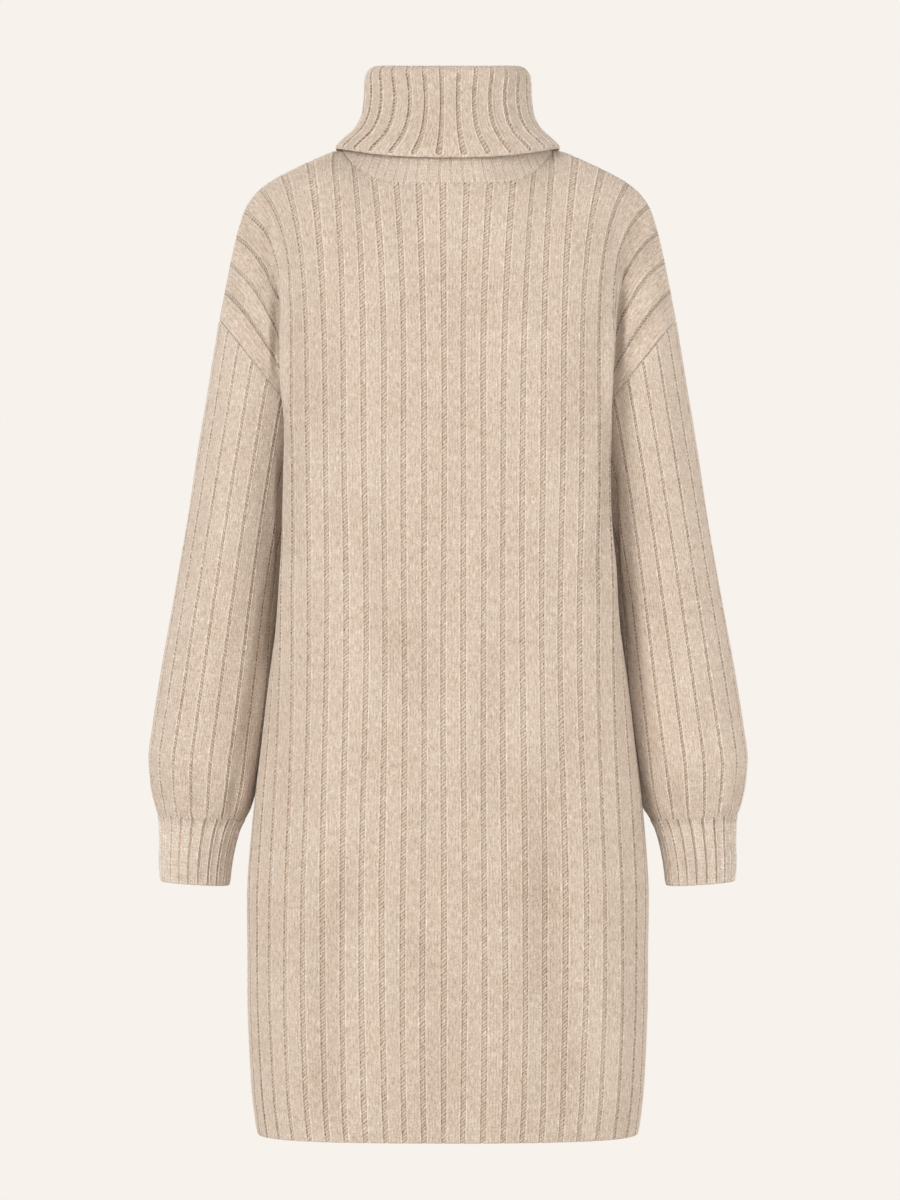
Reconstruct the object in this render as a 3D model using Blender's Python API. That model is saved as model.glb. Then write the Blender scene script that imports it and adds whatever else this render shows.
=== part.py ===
"""Roll-neck rib-knit sweater dress, filled out as when worn, with nothing inside it.

Metres, +Z up, the wearer's front towards -Y. The origin is in the middle of the neck
opening, level with the tops of the shoulders. Every piece is a hollow wall of cloth:
a smooth surface worked out from sections, with the knit's purl channels sunk into its
outer points, and a plain inner face one wall thickness inside it.
"""

import math

import bmesh
import bpy
import numpy as np

MM = 0.001
PLAIN_NUMBERS = ("square", "power", "rib")     # table columns that aren't millimetres

# --- the cloth ----------------------------------------------------------------------
WALL = 3.0 * MM
CHANNEL_DEPTH = 1.5 * MM
CHANNEL_HALF_SHARE = 0.16      # half a channel's width, as a share of one rib
SEAM_GAP = 0.3 * MM            # each seam keeps this much between its two pieces

# --- how many ribs each piece has ---------------------------------------------------
HALF_PANEL_RIBS = 13.0         # from the middle of the front to its side seam
NECK_RIBS = 5.5                # of these, how many end at the neckline
CAP_START_RIB = 8.7            # from here outwards the panel covers the upper arm
MIDDLE_CHANNEL = -0.23         # the middle channel sits this many ribs to one side
SLEEVE_RIBS = 18
NECK_RIBS_ROUND = 28
NECK_FIRST_CHANNEL = -0.35

# --- the body, sections from the hem up to the underarm (millimetres) ---------------
# box: half-width of the rounded box that the section starts from
# side: half-width at the side seam, less than box where the arm presses the cloth in
# front, back: half-depths; square: 2 is an ellipse, more is squarer
BODY_COLUMNS = ("height", "box", "side", "front", "back", "square")
BODY_SECTIONS = (
    (-893.0, 172.5, 172.5, 96.0, 90.0, 2.70),
    (-880.0, 174.5, 174.5, 97.5, 91.0, 2.70),
    (-849.0, 178.0, 178.0, 99.0, 92.5, 2.70),
    (-760.0, 181.5, 181.5, 100.0, 94.0, 2.75),
    (-680.0, 180.0, 180.0, 100.0, 94.0, 2.85),
    (-600.0, 174.5, 174.0, 99.5, 92.5, 3.00),
    (-530.0, 169.0, 165.0, 99.0, 89.5, 3.20),
    (-460.0, 164.0, 155.5, 99.0, 87.0, 3.50),
    (-390.0, 160.5, 146.0, 100.0, 86.0, 3.80),
    (-310.0, 157.5, 133.5, 102.0, 88.0, 4.00),
    (-251.0, 156.0, 129.5, 103.0, 90.0, 4.10),
)
HOLLOW_REACH = 75.0 * MM       # how far before and behind the side seam the arm presses
HOLLOW_FLATNESS = 2.6          # how evenly deep the hollow is across its middle
HOLLOW_EDGE = 2.0              # how softly it starts at its edges
UNDERARM_HEIGHT = -251.0 * MM
PANEL_RISE = 225.0 * MM        # length of a wale from the underarm to the shoulder
# power: how late each wale fans out on its way up
FAN_COLUMNS = ("rib", "power")
FAN_POWERS = (
    (0.0, 2.5),
    (6.0, 2.5),
    (7.5, 4.0),
    (8.7, 6.5),
    (13.0, 6.5),
)
CAP_BLEND = 1.2                # ribs over which the cap's surface takes over
CAP_LATE = 1.3                 # over 1 keeps the cap's wales near the body for longer

# --- neckline and shoulder ----------------------------------------------------------
NECK_HALF_WIDTH = 96.0 * MM
NECK_HALF_DEPTH = {"front": 68.0 * MM, "back": 60.0 * MM}
NECK_HEIGHT = {"front": -35.0 * MM, "back": -6.0 * MM}
NECK_SIDE_HEIGHT = -0.5 * MM
NECKLINE_POWER = 4.8           # flat across the middle, steep at the shoulder
NECK_SEAM_OUT = 0.6            # how far the seam's cloth faces sideways at the shoulder
NECK_SEAM_UP = (0.25, 0.85)    # and how far it faces up, in the middle and the shoulder
SHOULDER_COLUMNS = ("out", "height")
SHOULDER_LINE = (
    (96.0, -0.5),
    (114.0, -5.5),
    (138.0, -16.4),
    (160.0, -28.0),
    (175.0, -40.0),
    (184.0, -53.5),
    (190.5, -73.0),
    (197.5, -103.0),
    (207.5, -155.0),
)

# --- armhole, a slanted ellipse round the upper arm ---------------------------------
ARMHOLE_TOP = (207.5 * MM, -155.0 * MM)       # x and z of the shoulder tip
ARMHOLE_BOTTOM = (130.0 * MM, -251.0 * MM)    # x and z of the underarm
ARMHOLE_HALF_DEPTH = 53.0 * MM
ARMHOLE_FACING = 0.9           # how far the seam's cloth faces forwards and backwards
BODY_LEAN = 1.25               # at the underarm the body's edge faces the arm more,
SLEEVE_LEAN = 0.8              # and the sleeve's edge faces the body more
UNDERARM_RIBS = 4.5            # so far from the underarm the cloth is drawn thin
UNDERARM_REACH = 120.0 * MM
THINNER_AT_UNDERARM = 0.5      # share of the wall that is missing there

# --- sleeve, each ring from its outer point to its inner point (millimetres) --------
SLEEVE_COLUMNS = ("outer_x", "outer_z", "inner_x", "inner_z", "half_depth")
SLEEVE_RINGS = (
    (209.5, -168.0, 132.5, -262.0, 53.5),
    (222.0, -245.0, 138.0, -292.0, 54.0),
    (233.5, -315.0, 145.5, -340.0, 53.5),
    (247.0, -395.0, 154.0, -407.0, 52.5),
    (259.5, -468.0, 162.0, -478.0, 52.0),
    (268.0, -522.0, 168.5, -532.0, 52.5),
    (272.0, -553.0, 172.3, -561.0, 52.0),
    (271.0, -575.0, 175.5, -582.0, 49.5),
    (267.5, -592.0, 180.0, -597.0, 45.0),
    (263.5, -603.0, 184.0, -608.0, 40.5),
)
FULLEST_RING = 5               # counted from the armhole; it gives the axis its direction
CUFF_RINGS = (
    (263.0, -604.5, 184.5, -609.5, 40.0),
    (262.5, -625.0, 189.5, -629.5, 36.5),
    (262.0, -646.0, 195.5, -650.0, 33.5),
    (261.0, -663.0, 198.5, -667.0, 32.0),
)

# --- roll neck, a tube that stands up, folds over outwards and falls ----------------
# Each ring: half-width, half-depth before and behind, its height at the front, the
# side and the back, and the power that says how late it rises towards the side.
ROLL_COLUMNS = ("half_width", "front", "back", "z_front", "z_side", "z_back", "power")
STAND_OUTSIDE = (
    (88.0, 67.0, 60.5, -20.0, 7.5, 5.0, 4.0),
    (78.5, 65.5, 60.5, 0.0, 17.5, 18.0, 3.0),
    (70.0, 65.0, 61.0, 25.0, 33.0, 34.0, 2.5),
    (66.0, 64.5, 61.5, 62.0, 62.0, 62.0, 2.5),
)
FALL_INSIDE = (
    (69.0, 68.5, 65.5, 71.5, 71.5, 71.5, 2.5),
    (72.4, 72.0, 69.0, 60.0, 60.0, 60.0, 2.5),
    (73.6, 72.5, 70.0, 28.0, 34.5, 32.0, 2.5),
    (82.5, 73.0, 72.0, 3.0, 16.8, 10.0, 2.5),
    (100.3, 74.5, 74.5, -15.4, 0.0, -8.5, 2.5),
)
FALL_OUTSIDE = (
    (102.4, 77.4, 77.4, -15.8, 1.4, -9.0, 2.5),
    (101.8, 77.4, 77.3, -12.5, 3.4, -6.0, 2.5),
    (93.0, 76.5, 75.8, -6.0, 11.0, 2.0, 2.5),
    (84.2, 75.9, 74.9, 4.0, 19.2, 11.0, 2.5),
    (77.6, 75.6, 73.4, 22.0, 33.0, 26.0, 2.5),
    (75.4, 75.0, 72.0, 48.0, 50.0, 48.0, 2.5),
    (75.0, 74.6, 71.6, 66.0, 66.0, 66.0, 2.5),
    (71.8, 71.4, 68.4, 73.6, 73.6, 73.6, 2.5),
    (67.2, 66.8, 63.8, 76.4, 76.4, 76.4, 2.5),
)
STAND_INSIDE = (
    (63.6, 63.0, 60.0, 71.0, 71.0, 71.0, 2.5),
    (63.0, 61.6, 58.6, 60.0, 60.0, 60.0, 2.5),
    (67.0, 62.0, 58.0, 25.0, 31.0, 34.0, 2.5),
    (76.0, 62.5, 57.5, 0.0, 15.5, 18.0, 3.0),
)

# --- rows and columns of the meshes -------------------------------------------------
PANEL_LOW_ROWS_MM = (-893.0, -849.0, -760.0, -670.0, -590.0, -510.0, -430.0, -350.0,
                     -290.0)
PANEL_HIGH_SHARES = (0.0, 0.07, 0.16, 0.27, 0.39, 0.52, 0.65, 0.78, 0.9, 1.0)
CURVE_STEPS = 181              # points on a section before ribs are shared out on it
STEP = 0.4 * MM                # step for measuring slopes

YARN = {"colour": (0.66, 0.53, 0.43, 1.0), "roughness": 0.95}


# ------------------------------------------------------------------------------------
# tables and curves
# ------------------------------------------------------------------------------------
def column(table, names, name):
    """One named column of a table, in metres or as plain numbers."""
    scale = 1.0 if name in PLAIN_NUMBERS else MM
    return np.array([row[names.index(name)] for row in table]) * scale


def smooth_through(xs, ys, x):
    """A smooth curve through points, with no bulge between them.

    Cubic Hermite pieces whose slope at each point is the harmonic mean of the two
    neighbouring slopes, or zero where those differ in sign.
    """
    xs, ys, x = (np.asarray(a, dtype=float) for a in (xs, ys, x))
    gaps = np.diff(xs)
    slopes = np.diff(ys) / gaps
    inner = np.zeros(len(xs))
    same = slopes[:-1] * slopes[1:] > 0
    pair = slopes[:-1][same], slopes[1:][same]
    inner[1:-1][same] = 2.0 * pair[0] * pair[1] / (pair[0] + pair[1])
    inner[0], inner[-1] = slopes[0], slopes[-1]
    k = np.clip(np.searchsorted(xs, x) - 1, 0, len(xs) - 2)
    t = (x - xs[k]) / gaps[k]
    return (
        ys[k] * (1 + 2 * t) * (1 - t) ** 2
        + ys[k + 1] * t * t * (3 - 2 * t)
        + gaps[k] * (inner[k] * t * (1 - t) ** 2 - inner[k + 1] * t * t * (1 - t))
    )


def smooth_step(t):
    """From 0 to 1 with level ends."""
    t = np.clip(t, 0.0, 1.0)
    return t * t * (3.0 - 2.0 * t)


def share_out(curve, shares):
    """Points at the given shares of a curve's length."""
    lengths = np.linalg.norm(np.diff(curve, axis=0), axis=1)
    along = np.concatenate(([0.0], np.cumsum(lengths)))
    return np.stack(
        [np.interp(np.asarray(shares) * along[-1], along, axis) for axis in curve.T],
        axis=-1,
    )


def unit(vectors):
    """Vectors of length one."""
    return vectors / np.linalg.norm(vectors, axis=-1, keepdims=True)


# ------------------------------------------------------------------------------------
# front and back
# ------------------------------------------------------------------------------------
def half_section(height, facing):
    """Half a level section, from the middle of the front or back to the side seam.

    A superellipse, pressed in round the side seam where the sleeve hangs.
    """
    heights = column(BODY_SECTIONS, BODY_COLUMNS, "height")
    size = {
        name: float(
            smooth_through(heights, column(BODY_SECTIONS, BODY_COLUMNS, name), height)
        )
        for name in BODY_COLUMNS[1:]
    }
    turn = np.linspace(0.0, math.pi / 2, CURVE_STEPS)
    x = size["box"] * np.sin(turn) ** (2.0 / size["square"])
    y = size[facing] * np.cos(turn).clip(0.0) ** (2.0 / size["square"])
    pressed = (1.0 - (y / HOLLOW_REACH).clip(0.0, 1.0) ** HOLLOW_FLATNESS) ** HOLLOW_EDGE
    x = x - (size["box"] - size["side"]) * pressed
    z = np.full_like(x, height)
    sign = -1.0 if facing == "front" else 1.0
    return np.stack([x, sign * y, z], axis=-1)


def neckline_point(turn, facing):
    """The neckline: turn runs from 0 in the middle to a quarter turn at the shoulder."""
    sign = -1.0 if facing == "front" else 1.0
    rise = np.abs(np.sin(turn)) ** NECKLINE_POWER
    return np.stack(
        [
            NECK_HALF_WIDTH * np.sin(turn),
            sign * NECK_HALF_DEPTH[facing] * np.abs(np.cos(turn)),
            NECK_HEIGHT[facing] + (NECK_SIDE_HEIGHT - NECK_HEIGHT[facing]) * rise,
        ],
        axis=-1,
    )


def neck_turn(ribs, facing):
    """The turn along the neckline at which each rib ends, evenly shared out."""
    turns = np.linspace(0.0, math.pi / 2, CURVE_STEPS)
    curve = neckline_point(turns, facing)
    lengths = np.linalg.norm(np.diff(curve, axis=0), axis=1)
    along = np.concatenate(([0.0], np.cumsum(lengths)))
    return np.interp(np.clip(ribs / NECK_RIBS, 0.0, 1.0) * along[-1], along, turns)


def top_edge(ribs, facing):
    """Where each wale ends: at the neckline, then along the shoulder."""
    out = column(SHOULDER_LINE, SHOULDER_COLUMNS, "out")
    high = column(SHOULDER_LINE, SHOULDER_COLUMNS, "height")
    steps = np.linspace(0.0, 1.0, CURVE_STEPS)
    knots = np.concatenate(([0.0], np.cumsum(np.hypot(np.diff(out), np.diff(high)))))
    along = steps * knots[-1]
    shoulder = np.stack(
        [
            smooth_through(knots, out, along),
            np.zeros_like(along),
            smooth_through(knots, high, along),
        ],
        axis=-1,
    )
    past = (ribs - NECK_RIBS) / (HALF_PANEL_RIBS - NECK_RIBS)
    on_shoulder = share_out(shoulder, np.clip(past, 0.0, 1.0))
    on_neck = neckline_point(neck_turn(ribs, facing), facing)
    return np.where((ribs < NECK_RIBS)[:, None], on_neck, on_shoulder)


def armhole_point(turn, facing):
    """The armhole: turn runs from 0 at the underarm to half a turn at the shoulder."""
    sign = -1.0 if facing == "front" else 1.0
    middle = (np.array(ARMHOLE_TOP) + np.array(ARMHOLE_BOTTOM)) / 2
    half = np.array(ARMHOLE_BOTTOM) - middle
    return np.stack(
        [
            middle[0] + half[0] * np.cos(turn),
            sign * ARMHOLE_HALF_DEPTH * np.sin(turn),
            middle[1] + half[1] * np.cos(turn),
        ],
        axis=-1,
    )


def wales(ribs, rises, facing):
    """Wales without the arm: ribs above zero only; a grid of points, rises by ribs.

    Below the underarm each row is a level section. Above it each wale is an arch:
    its depth falls off as the cosine and its height climbs as the sine of one angle,
    up to the neckline or the shoulder.
    """
    shares = ribs / HALF_PANEL_RIBS
    base = share_out(half_section(UNDERARM_HEIGHT, facing), shares)
    top = top_edge(ribs, facing)
    reach = np.divide(top[:, 1], base[:, 1], out=np.zeros(len(ribs)),
                      where=ribs < NECK_RIBS)
    last = np.arccos(np.clip(reach, 0.0, 1.0))
    power = smooth_through(*(column(FAN_POWERS, FAN_COLUMNS, n) for n in FAN_COLUMNS),
                           ribs)
    points = np.empty((len(rises), len(ribs), 3))
    for row, rise in enumerate(rises):
        if rise < 0:
            section = half_section(UNDERARM_HEIGHT + rise, facing)
            points[row] = share_out(section, shares)
            continue
        angle = rise / PANEL_RISE * last
        climb = np.sin(angle) / np.sin(last)
        points[row, :, 0] = base[:, 0] + (top[:, 0] - base[:, 0]) * climb**power
        points[row, :, 1] = base[:, 1] * np.cos(angle)
        points[row, :, 2] = base[:, 2] + (top[:, 2] - base[:, 2]) * climb
    return points


def cap(ribs, rises, facing):
    """The cap over the upper arm, filled in between its four edges.

    The edges are the wale at CAP_START_RIB, the armhole, the row at the underarm and
    the shoulder line.
    """
    ends = np.array([CAP_START_RIB, HALF_PANEL_RIBS])
    span = np.array([0.0, PANEL_RISE])
    out = (ribs - ends[0]) / (ends[1] - ends[0])
    late = (out**CAP_LATE)[None, :, None]
    up = (rises / PANEL_RISE)[:, None, None]
    inner = wales(ends[:1], rises, facing)
    outer = armhole_point(rises / PANEL_RISE * math.pi, facing)[:, None, :]
    low, high = (row[None] for row in wales(ribs, span, facing))
    corners = wales(ends, span, facing)
    low = low - (1.0 - late) * corners[0, 0] - late * corners[0, 1]
    high = high - (1.0 - late) * corners[1, 0] - late * corners[1, 1]
    return (1.0 - late) * inner + late * outer + (1.0 - up) * low + up * high


def panel_surface(ribs, rises, facing):
    """The front's or back's smooth surface: a grid of points, rises by ribs.

    ribs count outwards from the middle, negative on the right-hand wearer's side.
    rises are metres along the wales, zero at the underarm.
    """
    ribs = np.asarray(ribs, dtype=float)
    rises = np.asarray(rises, dtype=float)
    side = np.where(ribs < 0, -1.0, 1.0)
    ribs = np.abs(ribs)
    points = wales(ribs, rises, facing)
    over_arm = ribs > CAP_START_RIB
    above = rises > 0
    if over_arm.any() and above.any():
        on_cap = np.ix_(above, over_arm)
        share = smooth_step((ribs[over_arm] - CAP_START_RIB) / CAP_BLEND)[None, :, None]
        filled = cap(ribs[over_arm], rises[above], facing)
        points[on_cap] += share * (filled - points[on_cap])
    points[..., 0] *= side
    return points


def panel_normals(ribs, rises, facing):
    """Outward normals of a panel's surface, from its slopes both ways."""
    rib_step = 0.02
    low_ribs = np.clip(ribs - rib_step, -HALF_PANEL_RIBS, HALF_PANEL_RIBS)
    high_ribs = np.clip(ribs + rib_step, -HALF_PANEL_RIBS, HALF_PANEL_RIBS)
    low = np.clip(rises - STEP, None, PANEL_RISE)
    high = np.clip(rises + STEP, None, PANEL_RISE)
    across = panel_surface(high_ribs, rises, facing) - panel_surface(
        low_ribs, rises, facing
    )
    upwards = panel_surface(ribs, high, facing) - panel_surface(ribs, low, facing)
    normal = unit(np.cross(across, upwards))
    return normal if facing == "front" else -normal


def armhole_seam(turns, facing, lean):
    """Points, outward normals and the direction into the sleeve, along the armhole.

    At the underarm the body and the sleeve face each other, so there the normals lean
    towards the piece's own side: lean is over 1 for the body and under 1 for a sleeve.
    """
    points = armhole_point(turns, facing)
    along = unit(armhole_point(turns + 0.01, facing) - armhole_point(turns - 0.01, facing))
    outwards = points - armhole_point(np.array([0.0, math.pi]), facing).mean(axis=0)
    outwards[:, 1] *= ARMHOLE_FACING
    axis = unit(sleeve_axis())
    outwards -= (outwards @ axis)[:, None] * axis
    underarm = np.clip(np.cos(turns), 0.0, 1.0) ** 1.5
    normals = unit(outwards)
    normals[:, 0] += lean * underarm
    normals = unit(normals)
    across = unit(np.cross(along, normals))
    into_sleeve = across if facing == "front" else -across
    return points, normals, into_sleeve


def neck_seam(turns, facing):
    """Points, outward normals and the direction into the collar, along the neckline."""
    points = neckline_point(turns, facing)
    ahead = neckline_point(turns + 0.01, facing) - neckline_point(turns - 0.01, facing)
    sign = -1.0 if facing == "front" else 1.0
    low, high = NECK_SEAM_UP
    up = low + (high - low) * np.sin(turns) ** 2
    normals = unit(
        np.stack([NECK_SEAM_OUT * np.sin(turns), sign * np.cos(turns), up], axis=-1)
    )
    across = unit(np.cross(unit(ahead), normals))
    into_collar = across * np.sign(across[:, 2:3])
    return points, normals, into_collar


def panel_grid(ribs, rises, facing):
    """A panel's points and normals, fitted to its four seams."""
    points = panel_surface(ribs, rises, facing)
    normals = panel_normals(ribs, rises, facing)
    sign = -1.0 if facing == "front" else 1.0
    mirror = np.array([-1.0, 1.0, 1.0])
    for edge in (0, -1):
        flip = mirror if ribs[edge] < 0 else np.ones(3)
        for row, rise in enumerate(rises):
            if rise >= 0:
                turn = np.full(1, rise / PANEL_RISE * math.pi)
                point, normal, into = armhole_seam(turn, facing, BODY_LEAN)
                points[row, edge] = (point[0] - into[0] * SEAM_GAP / 2) * flip
                normals[row, edge] = normal[0] * flip
            if rise <= 0 or row == len(rises) - 1:
                points[row, edge, 1] = sign * SEAM_GAP / 2
                normals[row, edge, 1] = 0.0
    for place, rib in enumerate(ribs):
        if abs(rib) >= NECK_RIBS:
            points[-1, place, 1] = sign * SEAM_GAP / 2
            normals[-1, place, 1] = 0.0
        if abs(rib) <= NECK_RIBS:
            turn = neck_turn(np.full(1, abs(rib)), facing)
            point, normal, into = neck_seam(turn, facing)
            flip = mirror if rib < 0 else np.ones(3)
            points[-1, place] = (point[0] - into[0] * SEAM_GAP / 2) * flip
            normals[-1, place] = normal[0] * flip
            if abs(rib) == NECK_RIBS:
                points[-1, place, 1] = sign * SEAM_GAP / 2
                normals[-1, place, 1] = 0.0
    return points, unit(normals)


# ------------------------------------------------------------------------------------
# sleeves and cuffs
# ------------------------------------------------------------------------------------
def sleeve_axis():
    """The direction down the sleeve, from its first ring to its fullest one."""
    x, z = (
        (column(SLEEVE_RINGS, SLEEVE_COLUMNS, "outer_" + way)
         + column(SLEEVE_RINGS, SLEEVE_COLUMNS, "inner_" + way)) / 2
        for way in "xz"
    )
    return np.array([x[FULLEST_RING] - x[0], 0.0, z[FULLEST_RING] - z[0]])


def rings_surface(table, turns, places):
    """A tube through a table of rings: a grid of points, places by turns.

    places count rings from the first, with smooth steps between them. turns run
    round from the inner point over the front, the outer point and the back.
    """
    knots = np.arange(len(table), dtype=float)
    values = {
        name: smooth_through(knots, column(table, SLEEVE_COLUMNS, name), places)
        for name in SLEEVE_COLUMNS
    }
    inwards = np.cos(turns)[None, :]
    x = (values["outer_x"] + values["inner_x"])[:, None] / 2
    x = x + (values["inner_x"] - values["outer_x"])[:, None] / 2 * inwards
    z = (values["outer_z"] + values["inner_z"])[:, None] / 2
    z = z + (values["inner_z"] - values["outer_z"])[:, None] / 2 * inwards
    y = -values["half_depth"][:, None] * np.sin(turns)[None, :]
    return np.stack([x, y, z], axis=-1)


def rings_normals(table, turns, places):
    """Outward normals of such a tube."""
    step = 0.01
    last = len(table) - 1.0
    round_it = rings_surface(table, turns + step, places) - rings_surface(
        table, turns - step, places
    )
    down = rings_surface(table, turns, np.clip(places + step, 0.0, last))
    down = down - rings_surface(table, turns, np.clip(places - step, 0.0, last))
    return unit(np.cross(down, round_it))


# ------------------------------------------------------------------------------------
# roll neck
# ------------------------------------------------------------------------------------
def collar_ring(row, turns):
    """One ring of the roll neck: turns run from the middle of the front round."""
    size = dict(zip(ROLL_COLUMNS, row))
    cosine, sine = np.cos(turns), np.sin(turns)
    front = cosine >= 0
    depth = np.where(front, size["front"], size["back"]) * MM
    end = np.where(front, size["z_front"], size["z_back"]) * MM
    rise = np.abs(sine) ** size["power"]
    z = end + (size["z_side"] * MM - end) * rise
    return np.stack([size["half_width"] * MM * sine, -depth * cosine, z], axis=-1)


def collar_base(ribs, depth):
    """The ring sewn to the neckline, at the columns where the panels meet it.

    ribs run from one shoulder to the other. Gives back the front's points, the back's
    points without those at the shoulders, and the collar's turn at each of them.
    """
    side = np.where(ribs < 0, -1.0, 1.0)
    rings = []
    for facing, these in (("front", slice(None)), ("back", slice(1, -1))):
        quarter = neck_turn(np.abs(ribs), facing)
        points, normals, into = neck_seam(quarter, facing)
        points = points + into * SEAM_GAP / 2 - normals * depth
        points[:, 0] *= side
        turns = side * quarter
        if facing == "back":
            turns = math.pi - turns
        rings.append((points[these], turns[these]))
    return rings


# ------------------------------------------------------------------------------------
# ribs and meshes
# ------------------------------------------------------------------------------------
def channel_columns(middles):
    """Columns at each channel's two edges and its bottom, and how deep each is."""
    offsets = np.array([-CHANNEL_HALF_SHARE, 0.0, CHANNEL_HALF_SHARE])
    places = (np.asarray(middles)[:, None] + offsets).ravel()
    depths = np.tile([0.0, CHANNEL_DEPTH, 0.0], len(middles))
    return places, depths


class Wall:
    """Gathers a closed wall's points and faces."""

    def __init__(self):
        self.points = []
        self.faces = []

    def row(self, points):
        """Adds a row of points and gives back their numbers."""
        start = len(self.points)
        self.points.extend(map(tuple, points))
        return list(range(start, start + len(points)))

    def band(self, low, high, closed=False):
        """Quads between two rows of equal length."""
        count = len(low)
        for k in range(count if closed else count - 1):
            n = (k + 1) % count
            self.faces.append((low[k], low[n], high[n], high[k]))

    def strip(self, inner, outer):
        """Triangles along a seam, split the same way on both of its pieces."""
        for k in range(len(inner) - 1):
            self.faces.append((inner[k], outer[k], outer[k + 1]))
            self.faces.append((inner[k], outer[k + 1], inner[k + 1]))

    def zip(self, low, low_at, high, high_at, closed=False):
        """Triangles between two rows whose points lie at other places along them."""
        if closed:
            low, high = low + low[:1], high + high[:1]
            low_at = np.append(low_at, low_at[0] + closed)
            high_at = np.append(high_at, high_at[0] + closed)
        i = j = 0
        while i < len(low) - 1 or j < len(high) - 1:
            step_low = j == len(high) - 1 or (
                i < len(low) - 1
                and low_at[i] + low_at[i + 1] <= high_at[j] + high_at[j + 1]
            )
            if step_low:
                self.faces.append((low[i], low[i + 1], high[j]))
                i += 1
            else:
                self.faces.append((low[i], high[j + 1], high[j]))
                j += 1


def make_object(name, wall, mirrored=False):
    """A named object with its own material, its faces pointing out."""
    points = np.array(wall.points)
    faces = wall.faces
    if mirrored:
        points = points * np.array([-1.0, 1.0, 1.0])
    mesh = bpy.data.meshes.new(name)
    mesh.from_pydata(points.tolist(), [], faces)
    form = bmesh.new()
    form.from_mesh(mesh)
    bmesh.ops.recalc_face_normals(form, faces=form.faces)
    form.to_mesh(mesh)
    form.free()
    mesh.shade_smooth()
    mesh.set_sharp_from_angle(angle=math.radians(50))
    mesh.materials.append(yarn_material(name))
    obj = bpy.data.objects.new(name, mesh)
    bpy.context.collection.objects.link(obj)
    return obj


def yarn_material(name):
    """Matt oatmeal wool yarn."""
    material = bpy.data.materials.new(name + "_yarn")
    material.use_nodes = True
    shader = material.node_tree.nodes["Principled BSDF"]
    shader.inputs["Base Color"].default_value = YARN["colour"]
    shader.inputs["Roughness"].default_value = YARN["roughness"]
    shader.inputs["Metallic"].default_value = 0.0
    return material


def panel_columns():
    """A panel's outer columns and how deep each is, and its plain inner columns."""
    edge = HALF_PANEL_RIBS
    corners = np.array([-edge, -NECK_RIBS, NECK_RIBS, edge])
    channels = np.arange(1 - edge, edge)
    channels += MIDDLE_CHANNEL * np.clip(1.0 - np.abs(channels) / NECK_RIBS, 0.0, 1.0)
    places, depths = channel_columns(channels)
    places = np.concatenate([places, corners])
    depths = np.concatenate([depths, np.zeros(4)])
    order = np.argsort(places)
    over_arm = np.arange(math.ceil(CAP_START_RIB), edge, 0.25)
    over_arm = over_arm[over_arm % 1.0 > 0.0]
    plain = np.sort(np.concatenate([-over_arm, channels, over_arm, corners]))
    return places[order], depths[order], plain


def make_panel(name, facing):
    """The front or back: a wall open at the neck, the armholes and the hem."""
    places, depths, plain = panel_columns()
    low = np.array(PANEL_LOW_ROWS_MM) * MM - UNDERARM_HEIGHT
    rises = np.concatenate([low, np.array(PANEL_HIGH_SHARES) * PANEL_RISE])

    outer, outer_normals = panel_grid(places, rises, facing)
    sunk = depths[None, :] * (1.0 - underarm_share(places, rises))
    outer = outer - outer_normals * sunk[..., None]
    inner, inner_normals = panel_grid(plain, rises, facing)
    thick = WALL * (1.0 - THINNER_AT_UNDERARM * underarm_share(plain, rises))
    inner = inner - inner_normals * thick[..., None]

    wall = Wall()
    outside = [wall.row(row) for row in outer]
    inside = [wall.row(row) for row in inner]
    for low_row, high_row in zip(outside, outside[1:]):
        wall.band(low_row, high_row)
    for low_row, high_row in zip(inside, inside[1:]):
        wall.band(high_row, low_row)
    wall.zip(inside[0], plain, outside[0], places)
    wall.zip(outside[-1], places, inside[-1], plain)
    for edge in (0, -1):
        wall.strip([row[edge] for row in inside], [row[edge] for row in outside])
    return make_object(name, wall)


def underarm_share(ribs, rises):
    """1 at the underarm, falling to 0 a few ribs away: cloth is thin and plain there."""
    across = (HALF_PANEL_RIBS - np.abs(ribs[None, :])) / UNDERARM_RIBS
    along = rises[:, None] / UNDERARM_REACH
    return smooth_step(1.0 - np.hypot(across, along))


def ring_places(count):
    """Turns round a tube for the ribs' columns, their depths, and the plain inside."""
    places, depths = channel_columns(np.arange(count, dtype=float))
    to_turn = 2 * math.pi / count
    return places * to_turn, depths, np.arange(count) * to_turn


def add_tube(wall, table, places, rib_turns, rib_depths, plain_turns):
    """Rows of a tube's outer and inner points at the given places along it."""
    surface = rings_surface(table, rib_turns, places)
    normals = rings_normals(table, rib_turns, places)
    outer = surface - normals * rib_depths[None, :, None]
    plain = rings_surface(table, plain_turns, places)
    inner = plain - rings_normals(table, plain_turns, places) * WALL
    outside = [wall.row(row) for row in outer]
    inside = [wall.row(row) for row in inner]
    for high_row, low_row in zip(outside, outside[1:]):
        wall.band(high_row, low_row, closed=True)
    for high_row, low_row in zip(inside, inside[1:]):
        wall.band(low_row, high_row, closed=True)
    return outside, inside


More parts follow.
